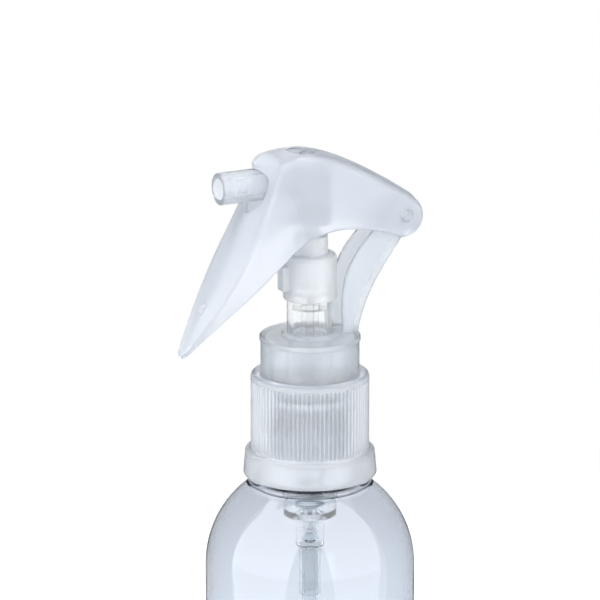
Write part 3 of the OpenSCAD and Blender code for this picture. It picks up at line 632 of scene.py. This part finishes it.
rib_x = -(SLEEVE_R + RIB_DEPTH / 2 - RIB_SINK / 2)
rib_z = sleeve_z + RIB_FOOT + RIB_H / 2
bpy.ops.object.select_all(action="DESELECT")
bpy.ops.mesh.primitive_cube_add(
    size=1, location=(rib_x * MM, 0, rib_z * MM),
    scale=((RIB_DEPTH + RIB_SINK) * MM, RIB_W * MM, RIB_H * MM))
bpy.ops.object.transform_apply(location=False, rotation=False, scale=True)
bpy.ops.object.mode_set(mode="EDIT")
bpy.ops.mesh.select_all(action="SELECT")
bpy.ops.mesh.bevel(offset=RIB_EDGE * MM, segments=4)
bpy.ops.object.mode_set(mode="OBJECT")
combine(plunger, bpy.context.object, "UNION")

# The plunger is milkier than the base, nearly white, so that the barrel in it only shows as a shade.
milky_pp = natural_polypropylene("natural_polypropylene_milky", ("#ECF0F4", "#F2F5F8"), (0.28, 0.34), 0.56)
plunger = add_piece("sleeve_and_stem", milky_pp)
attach(plunger, "plunger")
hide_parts("plunger")

# Screw cap: natural polypropylene, with 80 fine grip ribs over a wide smooth skirt, and a thread inside.
# It holds the pump's flange and the gasket down on the lip of the neck.
CAP_R = 13.7
CAP_BORE_R = 12.3
CAP_HOLE_R = 11.55
CAP_PANEL = 1.8
CAP_EDGE = 1
CAP_CORNER = 0.5
CAP_HOLE_EDGE = 0.25
GRIP_RIBS = 80
SIDES_PER_RIB = 8
GRIP_DEPTH = 0.38
GRIP_TOP = 1.3
GRIP_FOOT = 0.3
GRIP_FADE = 0.7
FADE_STEPS = 4
# Widths of the crests and of the inner wall that the painted valley shade leaves light.
CREST_BAND = 0.08
WALL_BAND = 0.2
SKIRT_H = 6.3
SKIRT_TOP_R = 15
SKIRT_R = 15.4
SKIRT_BORE_R = 14
SKIRT_WALL = 1.4
SKIRT_EDGE = 0.8
SKIRT_FLARE = 0.2
SKIRT_FLARE_H = 0.3

cap_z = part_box("screw_cap")[0].z / MM
cap_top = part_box("screw_cap")[1].z / MM
skirt_z = cap_z + SKIRT_H
grip_high = cap_top - GRIP_TOP
grip_low = skirt_z + GRIP_FOOT
fade_steps = [GRIP_FADE * i / FADE_STEPS for i in range(FADE_STEPS + 1)]
cap_outline = (
    [(SKIRT_BORE_R, cap_z + SKIRT_FLARE_H), (SKIRT_BORE_R, skirt_z - SKIRT_WALL)]
    + [(CAP_BORE_R, skirt_z - SKIRT_WALL)]
    + arc((CAP_BORE_R - CAP_CORNER, cap_top - CAP_PANEL - CAP_CORNER), CAP_CORNER, 0, 90, 3)
    + [(CAP_HOLE_R, cap_top - CAP_PANEL)]
    + arc((CAP_HOLE_R + CAP_HOLE_EDGE, cap_top - CAP_HOLE_EDGE), CAP_HOLE_EDGE, 180, 90, 3)
    + arc((CAP_R - CAP_EDGE, cap_top - CAP_EDGE), CAP_EDGE, 90, 0, 7)
    + [(CAP_R, grip_high - step) for step in fade_steps]
    + [(CAP_R, grip_low + step) for step in reversed(fade_steps)]
    + arc((SKIRT_TOP_R - SKIRT_EDGE, skirt_z - SKIRT_EDGE), SKIRT_EDGE, 90, 0, 5)
    + arc((SKIRT_R - SKIRT_EDGE, cap_z + SKIRT_EDGE), SKIRT_EDGE, 0, -90, 5)
    + [(SKIRT_BORE_R + SKIRT_FLARE, cap_z)]
)
cap = turn(cap_outline + cap_outline[:1], GRIP_RIBS * SIDES_PER_RIB)
for point in cap.data.vertices:
    radius = math.hypot(point.co.x, point.co.y) / MM
    height = point.co.z / MM
    if radius > CAP_R - SKIN and grip_low < height < grip_high:
        fade = min(min(height - grip_low, grip_high - height) / GRIP_FADE, 1)
        valley = 0.5 + 0.5 * math.cos(GRIP_RIBS * math.atan2(point.co.y, point.co.x))
        sink = 1 - GRIP_DEPTH * math.sqrt(fade) * valley / CAP_R
        point.co.x *= sink
        point.co.y *= sink

# The cap is the same plastic. Its colour is painted darker in the valleys between the ribs, as painted shade,
# so that the crests look bright.
cap_pp = natural_polypropylene("natural_polypropylene_ribbed_valley_shade", ("#ECF1F7", "#F3F6FA"), (0.2, 0.26), 0.72, 1.4)
tree = cap_pp.node_tree
# Painted shade: the colour is darkest at the bottoms of the rib valleys and light on the crests, and it fades
# back to light towards the bore.
around = add_node(tree, "ShaderNodeVectorMath", {"operation": "MULTIPLY", 1: (1, 1, 0)},
                  {0: tree.nodes["place"].outputs["Object"]})
reach = add_node(tree, "ShaderNodeVectorMath", {"operation": "LENGTH"}, {0: around.outputs["Vector"]})
inside = add_node(tree, "ShaderNodeMapRange", {
    "From Min": (CAP_BORE_R + WALL_BAND) * MM, "From Max": (CAP_R - GRIP_DEPTH) * MM,
}, {"Value": reach.outputs["Value"]})
crest = add_node(tree, "ShaderNodeMapRange", {
    "From Min": (CAP_R - GRIP_DEPTH) * MM, "From Max": (CAP_R - CREST_BAND) * MM,
}, {"Value": reach.outputs["Value"]})
valley = add_node(tree, "ShaderNodeMath", {"operation": "SUBTRACT"},
                  {0: inside.outputs["Result"], 1: crest.outputs["Result"]})
shade = add_node(tree, "ShaderNodeMix", {"data_type": "RGBA", "A": linear("#F1F5F9"), "B": linear("#D3DBE5")},
                 {"Factor": valley.outputs["Value"]})
tree.links.new(shade.outputs["Result"], tree.nodes["body"].inputs["Base Color"])
cap = add_piece("ribbed_cap", cap_pp)
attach(cap, "cap")
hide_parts("screw_cap")

# Cap thread: the cap's own thread, moulded on the inside of its wall in the same polypropylene.
# It runs half a pitch above the neck's, and like that one is a piece of its own, a hair off its wall.
cap_thread_z = THREAD_Z + THREAD_PITCH / 2
wind([
    (CAP_BORE_R - SKIN, cap_thread_z + THREAD_ROOT / 2),
    (CAP_BORE_R - THREAD_PROUD, cap_thread_z + THREAD_CREST / 2),
    (CAP_BORE_R - THREAD_PROUD, cap_thread_z - THREAD_CREST / 2),
    (CAP_BORE_R - SKIN, cap_thread_z - THREAD_ROOT / 2),
], THREAD_TURNS, THREAD_PITCH * THREAD_TURNS, round(THREAD_STEPS_PER_TURN * THREAD_TURNS))
cap_thread = add_piece("cap_thread", cap_pp)
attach(cap_thread, "cap")

# Trigger lever: natural polypropylene, a channel with two cheeks that turns on the base's hinge pins.
# It swells into a crown with a round window over the spout, and tapers to a finger rest with a raised mark.
LEVER_WALL = 1.2
WALL_SHARE = 0.6
LEVER_END_R = 4.49
CHEEK_END_R = 5.2
TAIL_START, TAIL_END = 55, -55
EDGE_START, EDGE_END = -100, -67
TIP_HALF_W = 1.5
TIP_END = 0.03
REST_HALF_W = 8.2
BROW_HALF_W = 6.95
CROWN_HALF_W = 6.35
HINGE_HALF_W = 5.2
BROW_SWELL = 4
WEB_SWELL = 0.58
WIDEST = 0.55
TIP_ROUND = 0.7
BROW_ROUND = 1.6
CROWN_ROUND = 2.6
HINGE_ROUND = 2
END_ROUND = 1.2
ROUND_SHARE = 0.8
LEAST_ROUND = 0.15
LEAST_DEPTH = 0.3
TIP_NARROW = 0.3
TIP_DROP = 0.9
TIP_STATIONS = 6
FRONT_STATIONS = 44
CROWN_STATIONS = 20
SPINE_STATIONS = 30
TAIL_STATIONS = 20
LIP_STEPS = 4
CHEEK_STEPS = 6
CORNER_STEPS = 8
WEB_STEPS = 10
SPOUT_RISE = 10.45
CROWN_RISE = 6.65
WINDOW_R = 3.5
WINDOW_X = -2.3
SLOT_R = 4.1
SLOT_DROP = 2.2
SLOT_FROM, SLOT_TO = -4.8, -18.8
HINGE_HOLE_R = 1.56
HINGE_HOLE_EDGE = 0.1
MARK_AT = 0.25
MARK_R = 0.9
MARK_TO = 85
MARK_STRETCH = 1.6
MARK_PROUD = 1
MARK_LEAN = 10

# From a satin mould the same plastic is milkier, and lets through light but hardly any outlines.
satin_pp = natural_polypropylene("natural_polypropylene_satin", ("#E1E6ED", "#E8ECF2"), (0.28, 0.34), 0.7)

# The web is the lever's back, and the edge is where its cheeks end. Each runs over the finger rest, the crown
# and the spine in curves of four control points that follow the outline of the real one, seen from the side.
spout_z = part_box("spout")[0].z / MM + SPOUT_RISE
tip = Vector((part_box("trigger_lever")[0].x / MM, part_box("trigger_lever")[0].z / MM + TIP_DROP))
tip_under = tip + Vector((TIP_DROP, -TIP_DROP))
brow = Vector((-10.8, spout_z + CROWN_RISE - 2.6))
crown = Vector((-1.5, spout_z + CROWN_RISE))
tail = polar(hinge, LEVER_END_R, TAIL_START)
tail_way = Vector((math.sin(math.radians(TAIL_START)), -math.cos(math.radians(TAIL_START))))
arch_front = Vector((-3.4, hinge.y - 2.7))
arch_top = Vector((5, hinge.y - 1.2))
arch_back = Vector((14, hinge.y - 2.4))
edge_back = polar(hinge, CHEEK_END_R, EDGE_START)
web_front = [tip, tip + Vector((8, 12.2)), brow - Vector((4, 12)), brow]
web_crown = [brow, brow + Vector((0.1, 1.9)), crown - Vector((7, 0)), crown]
web_spine = [crown, crown + Vector((6.4, -0.5)), tail - 9 * tail_way, tail]
edge_front = [tip_under, tip_under + Vector((8.6, 9.6)), arch_front - Vector((8.5, 4.2)), arch_front]
edge_crown = [arch_front, arch_front + Vector((1.4, 0.6)), arch_top - Vector((3, 0)), arch_top]
edge_spine = [arch_top, arch_top + Vector((5, 0)), arch_back + Vector((3, -0.8)), edge_back]


def mix(a, b, t):
    """A value between two others."""
    return a + (b - a) * t


def ease(t):
    """A smooth step from 0 to 1."""
    return t * t * (3 - 2 * t)


def front_station(t):
    """Web point, edge point, half width, corner radius and swell along the finger rest, from its tip."""
    if t < WIDEST:
        half_w = mix(TIP_HALF_W, REST_HALF_W, math.sin(math.pi / 2 * t / WIDEST))
    else:
        half_w = mix(REST_HALF_W, BROW_HALF_W, ease((t - WIDEST) / (1 - WIDEST)))
    if t < TIP_END:
        half_w *= TIP_NARROW + (1 - TIP_NARROW) * math.sqrt(1 - (1 - t / TIP_END) ** 2)
    swell = BROW_SWELL * (0.3 * t + 0.7 * t ** 5)
    return cubic(web_front, t), cubic(edge_front, t ** 0.8), half_w, mix(TIP_ROUND, BROW_ROUND, t), swell


def crown_station(t):
    """The same over the crown."""
    return (cubic(web_crown, t), cubic(edge_crown, t), mix(BROW_HALF_W, CROWN_HALF_W, t),
            mix(BROW_ROUND, CROWN_ROUND, t), mix(BROW_SWELL, WEB_SWELL, ease(min(1.6 * t, 1))))


def spine_station(t):
    """The same from the crown back to the hinge."""
    return (cubic(web_spine, t), cubic(edge_spine, t), mix(CROWN_HALF_W, HINGE_HALF_W, ease(t)),
            mix(CROWN_ROUND, HINGE_ROUND, t), WEB_SWELL)


def tail_station(t):
    """The same round the hinge."""
    return (polar(hinge, LEVER_END_R, mix(TAIL_START, TAIL_END, t)),
            polar(hinge, mix(CHEEK_END_R, LEVER_END_R, t), mix(EDGE_START, EDGE_END, t)), HINGE_HALF_W,
            mix(HINGE_ROUND, END_ROUND, t), mix(WEB_SWELL, 0, t))


def half_channel(station, inward, web_t, cheek_t, lip, lip_turn):
    """Half of a channel's outer or inner face, from the round lip of a cheek up to the middle of the web."""
    web, edge, half_w, corner, swell = station
    depth = (edge - web).length
    down = (edge - web) / depth
    wide = half_w - cheek_t
    round_r = max(min(corner, ROUND_SHARE * half_w, ROUND_SHARE * depth) - cheek_t, LEAST_ROUND)
    round_d = min(round_r, ROUND_SHARE * max(depth - web_t, LEAST_DEPTH))
    top = web + web_t * inward
    points = []
    for i in range(LIP_STEPS):
        a = math.radians(lip_turn * (i + (lip_turn < 0)) / LIP_STEPS)
        points.append((edge - (1 - math.cos(a)) * lip * down, half_w - lip + lip * math.sin(a)))
    cheek_from = edge - lip * down
    cheek_to = top + round_d * down
    for i in range(CHEEK_STEPS):
        points.append((cheek_from + (cheek_to - cheek_from) * i / CHEEK_STEPS, wide))
    for i in range(CORNER_STEPS):
        a = math.pi / 2 * i / CORNER_STEPS
        points.append((top + round_d * (1 - math.sin(a)) * down, wide - round_r + round_r * math.cos(a)))
    for i in range(WEB_STEPS + 1):
        across = 1 - i / WEB_STEPS
        bulge = swell * math.cos(math.pi / 2 * across) ** 2
        points.append((top - bulge * inward, (wide - round_r) * across))
    return [(p.x, y, p.y) for p, y in points]


def mirrored(half):
    """The other half of a face, without its middle point, from the web down."""
    return [(x, -y, z) for x, y, z in reversed(half[:-1])]


def lever_section(before, station, after):
    """A closed section of the lever: over the outer face from lip to lip, and back along the inner face."""
    along = (after[0] - before[0]).normalized()
    inward = Vector((along.y, -along.x))
    web_t = min(LEVER_WALL, WALL_SHARE * (station[1] - station[0]).length)
    cheek_t = min(LEVER_WALL, WALL_SHARE * station[2])
    outer = half_channel(station, inward, 0, 0, cheek_t / 2, 90)
    inner = half_channel(station, inward, web_t, cheek_t, cheek_t / 2, -90)
    far_inner = [(x, -y, z) for x, y, z in inner]
    return outer + mirrored(outer) + far_inner + mirrored(far_inner)


stations = (
    [front_station(TIP_END * i / TIP_STATIONS) for i in range(TIP_STATIONS)]
    + [front_station(mix(TIP_END, 1, i / FRONT_STATIONS)) for i in range(FRONT_STATIONS)]
    + [crown_station(i / CROWN_STATIONS) for i in range(CROWN_STATIONS)]
    + [spine_station(i / SPINE_STATIONS) for i in range(SPINE_STATIONS)]
    + [tail_station(i / TAIL_STATIONS) for i in range(TAIL_STATIONS + 1)]
)
lever = skin([
    lever_section(before, station, after)
    for before, station, after in zip(stations[:1] + stations, stations, stations[1:] + stations[-1:])
])
combine(lever, cross_bar(hinge, HINGE_HOLE_R, 4 * HINGE_HALF_W, HINGE_HOLE_EDGE), "DIFFERENCE")
window = turn([(WINDOW_R, spout_z + SLOT_R), (WINDOW_R, spout_z + 2 * CROWN_RISE)], 64)
window.location.x = WINDOW_X * MM
combine(lever, window, "DIFFERENCE")
slot_outline = (
    arc((0, spout_z), SLOT_R, 0, 180, 24)
    + arc((0, spout_z - SLOT_DROP), SLOT_R, 180, 360, 24)
)
combine(lever, skin([[(x, y, z) for y, z in slot_outline] for x in (SLOT_FROM, SLOT_TO)]), "DIFFERENCE")

mark = turn(arc((0, 0), MARK_R, -MARK_TO, MARK_TO, 12), 32)
mark_station = front_station(MARK_AT)
face = mark_station[0]
mark_swell = mark_station[-1]
rise = (front_station(MARK_AT + 0.01)[0] - face).normalized()
outward = Vector((-rise.y, rise.x))
mark_place = face + outward * mark_swell
mark.scale = (MARK_STRETCH, 1, MARK_PROUD / MARK_R)
mark.rotation_euler = (0, -math.atan2(rise.y, rise.x) + math.radians(MARK_LEAN), 0)
mark.location = (mark_place.x * MM, 0, mark_place.y * MM)
combine(lever, mark, "UNION")
drop_slivers(lever)
lever = add_piece("lever_shell", satin_pp)
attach(lever, "trigger")
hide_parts("trigger_lever")

# Spout: natural polypropylene, a tube and an elbow in one moulding, snapped into the lever from below.
# The elbow's socket takes the plunger's ball head, and a throat leads from it to the bore and the nozzle.
SPOUT_R = 3.75
SPOUT_BORE_R = 2.45
SPOUT_BORE_FROM = 5
SPOUT_EDGE = 0.35
ELBOW_R = 4.8
ELBOW_TOP = 3.85
ELBOW_WALL = 1.2
ELBOW_BORE_R = 3.4
ELBOW_EDGE = 0.6
ELBOW_FOOT_EDGE = 0.2
ELBOW_MOUTH_R = 4.25
ELBOW_MOUTH_H = 3.2
BOSS_R = 2.65
BOSS_RISE = CROWN_RISE - 0.8
BOSS_EDGE = 0.3
BORE_EDGE = 0.3
SOCKET_R = 2.95
THROAT_R = 1
THROAT_SPARE = 1

spout_reach = -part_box("spout")[0].x / MM
mouth_z = head_z - ELBOW_MOUTH_H
elbow_outline = (
    [(ELBOW_BORE_R, spout_z + ELBOW_TOP - ELBOW_WALL), (ELBOW_BORE_R, head_z + SOCKET_R + ELBOW_WALL)]
    + [(THROAT_R, head_z + SOCKET_R + ELBOW_WALL)]
    + arc((0, head_z), SOCKET_R, math.degrees(math.acos(THROAT_R / SOCKET_R)), 0, 10)
    + [(ELBOW_MOUTH_R, mouth_z)]
    + arc((ELBOW_R - ELBOW_FOOT_EDGE, mouth_z + ELBOW_FOOT_EDGE), ELBOW_FOOT_EDGE, -90, 0, 3)
    + arc((ELBOW_R - ELBOW_EDGE, spout_z + ELBOW_TOP - ELBOW_EDGE), ELBOW_EDGE, 0, 90, 5)
    + arc((BOSS_R - BOSS_EDGE, spout_z + BOSS_RISE - BOSS_EDGE), BOSS_EDGE, 0, 90, 4)
)
tube_outline = (
    [(SPOUT_BORE_R, SPOUT_BORE_FROM)]
    + arc((SPOUT_BORE_R + BORE_EDGE, spout_reach - BORE_EDGE), BORE_EDGE, 180, 90, 3)
    + arc((SPOUT_R - SPOUT_EDGE, spout_reach - SPOUT_EDGE), SPOUT_EDGE, 90, 0, 5)
    + [(SPOUT_R, ELBOW_BORE_R)]
)
throat_outline = [(THROAT_R, ELBOW_BORE_R - THROAT_SPARE), (THROAT_R, SPOUT_BORE_FROM + THROAT_SPARE)]
spout = turn(elbow_outline, 96)
for outline, sides, operation in ((tube_outline, 96, "UNION"), (throat_outline, 32, "DIFFERENCE")):
    limb = turn(outline, sides)
    limb.rotation_euler = (0, -math.pi / 2, 0)
    limb.location.z = spout_z * MM
    combine(spout, limb, operation)

# The tube is thin and clearer than the rest, with its bore showing through.
thin_pp = natural_polypropylene("natural_polypropylene_thin", ("#E9EEF4", "#F0F4F8"), (0.2, 0.26), 0.78)
drop_slivers(spout)
spout = add_piece("spout_and_elbow", thin_pp)
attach(spout, "trigger")
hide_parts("spout")

# Floor and room: white card that photographs as pure white, with the bottle's soft shadow kept near its foot.
# Away from the foot, what the camera sees, directly or through the plastic, is plain white.
FLOOR_SIZE = 6
SHADOW_FROM = 0.12
SHADOW_TO = 0.3
FLOOR_GLOW = 0.42
ROOM_LIGHT = 0.2


def seen_rays(tree):
    """1 for rays from the camera, straight, mirrored or through plastic, and 0 for light on surfaces."""
    rays = add_node(tree, "ShaderNodeLightPath")
    seen = add_node(tree, "ShaderNodeMath", {"operation": "MAXIMUM"},
                    {0: rays.outputs["Is Camera Ray"], 1: rays.outputs["Is Glossy Ray"]})
    seen = add_node(tree, "ShaderNodeMath", {"operation": "MAXIMUM"},
                    {0: seen.outputs["Value"], 1: rays.outputs["Is Transmission Ray"]})
    return seen.outputs["Value"]


white_card, tree, output = new_material("white_card_matt")
place = add_node(tree, "ShaderNodeTexCoord")
reach = add_node(tree, "ShaderNodeVectorMath", {"operation": "LENGTH"}, {0: place.outputs["Object"]})
far = add_node(tree, "ShaderNodeMapRange", {
    "interpolation_type": "SMOOTHSTEP", "From Min": SHADOW_FROM, "From Max": SHADOW_TO,
}, {"Value": reach.outputs["Value"]})
seen = seen_rays(tree)
paint = add_node(tree, "ShaderNodeBsdfDiffuse", {"Color": linear("#F2F3F4")})
glow_level = add_node(tree, "ShaderNodeMath", {"operation": "MULTIPLY", 1: FLOOR_GLOW}, {0: seen})
glow = add_node(tree, "ShaderNodeEmission", {}, {"Strength": glow_level.outputs["Value"]})
near = add_node(tree, "ShaderNodeAddShader", {}, {0: paint.outputs["BSDF"], 1: glow.outputs["Emission"]})
plain = add_node(tree, "ShaderNodeEmission", {"Strength": 1.0})
plain_share = add_node(tree, "ShaderNodeMath", {"operation": "MULTIPLY"}, {0: seen, 1: far.outputs["Result"]})
card = add_node(tree, "ShaderNodeMixShader", {}, {
    0: plain_share.outputs["Value"], 1: near.outputs["Shader"], 2: plain.outputs["Emission"],
})
tree.links.new(card.outputs["Shader"], output.inputs["Surface"])
bpy.ops.object.select_all(action="DESELECT")
bpy.ops.mesh.primitive_plane_add(size=FLOOR_SIZE)
floor = bpy.context.object
floor.name = "floor_card"
floor.data.materials.append(white_card)
# Reflections don't see the floor, so that the bottle's upright walls mirror the softboxes down to its foot.
floor.visible_glossy = False

# Matt grey card, for two flags that the bottle's edges mirror.
grey_card, tree, output = new_material("grey_card_matt")
shade = add_node(tree, "ShaderNodeEmission", {"Color": linear("#38434F"), "Strength": 1.0})
tree.links.new(shade.outputs["Emission"], output.inputs["Surface"])

room = bpy.data.worlds.new("white_room")
bpy.context.scene.world = room
room.use_nodes = True
tree = room.node_tree
tree.nodes.clear()
output = add_node(tree, "ShaderNodeOutputWorld")
level = add_node(tree, "ShaderNodeMath", {"operation": "MULTIPLY_ADD", 1: 1 - ROOM_LIGHT, 2: ROOM_LIGHT},
                 {0: seen_rays(tree)})
sky = add_node(tree, "ShaderNodeBackground", {"Color": linear("#FFFFFF")},
               {"Strength": level.outputs["Value"]})
tree.links.new(sky.outputs["Background"], output.inputs["Surface"])

# Lights and camera: two tall softboxes beside the bottle give it its pale upright bands, and one hangs above.
# A fill in front makes no reflection, and two grey flags that only reflections see darken the bottle's edges.
# The camera stands in front and to the left of the spout, a little above it, with a long lens.
VIEW_TURN = -26
VIEW_RISE = 16
VIEW_REACH = 2
VIEW_WIDTH = 138
VIEW_SHIFT = -2.3
VIEW_HEIGHT = 123.3
SENSOR_WIDTH = 36
LIGHT_REACH = 0.8
LIGHT_HEIGHT = 0.08
# Each light's turn from the camera, rise, width, height and radiance.
SOFTBOXES = {
    "left_softbox": (-59, 20, 1.24, 2.6, 2.0),
    "right_softbox": (54, 20, 1.0, 2.6, 1.6),
    "top_softbox": (0, 80, 0.7, 0.7, 0.25),
    "front_fill": (8, 6, 0.6, 0.6, 1.5),
}
FLAGS = {"left_flag": -134, "right_flag": 132}
FLAG_REACH = 0.6
FLAG_WIDTH = 1
FLAG_HEIGHT = 1.6


def outward_from(turned, raised):
    """A direction from the bottle, turned from its front and raised above the floor, in degrees."""
    across = math.radians(turned)
    above = math.radians(raised)
    return Vector((math.sin(across) * math.cos(above), -math.cos(across) * math.cos(above), math.sin(above)))


for name, (turned, raised, width, height, radiance) in SOFTBOXES.items():
    way = outward_from(VIEW_TURN + turned, raised)
    bpy.ops.object.light_add(
        type="AREA", location=Vector((0, 0, LIGHT_HEIGHT)) + way * LIGHT_REACH,
        rotation=way.to_track_quat("Z", "Y").to_euler())
    lamp = bpy.context.object
    lamp.name = name
    lamp.data.shape = "RECTANGLE"
    lamp.data.size = width
    lamp.data.size_y = height
    lamp.data.energy = radiance * math.pi * width * height
    lamp.visible_camera = False
    lamp.visible_glossy = name != "front_fill"

for name, turned in FLAGS.items():
    way = outward_from(VIEW_TURN + turned, 0)
    bpy.ops.object.select_all(action="DESELECT")
    bpy.ops.mesh.primitive_plane_add(
        size=1, location=Vector((0, 0, LIGHT_HEIGHT)) + way * FLAG_REACH,
        rotation=way.to_track_quat("Z", "Y").to_euler())
    flag = bpy.context.object
    flag.name = name
    flag.scale = (FLAG_WIDTH, FLAG_HEIGHT, 1)
    flag.data.materials.append(grey_card)
    for ray in ("camera", "diffuse", "transmission", "shadow"):
        setattr(flag, "visible_" + ray, False)

view = outward_from(VIEW_TURN, VIEW_RISE)
side = outward_from(VIEW_TURN + 90, 0)
target = Vector((0, 0, VIEW_HEIGHT * MM)) + side * VIEW_SHIFT * MM
bpy.ops.object.camera_add(
    location=target + view * VIEW_REACH, rotation=view.to_track_quat("Z", "Y").to_euler())
camera = bpy.context.object
camera.data.sensor_width = SENSOR_WIDTH
camera.data.lens = SENSOR_WIDTH * VIEW_REACH / (VIEW_WIDTH * MM)
bpy.context.scene.camera = camera
bpy.context.scene.view_settings.view_transform = "Standard"
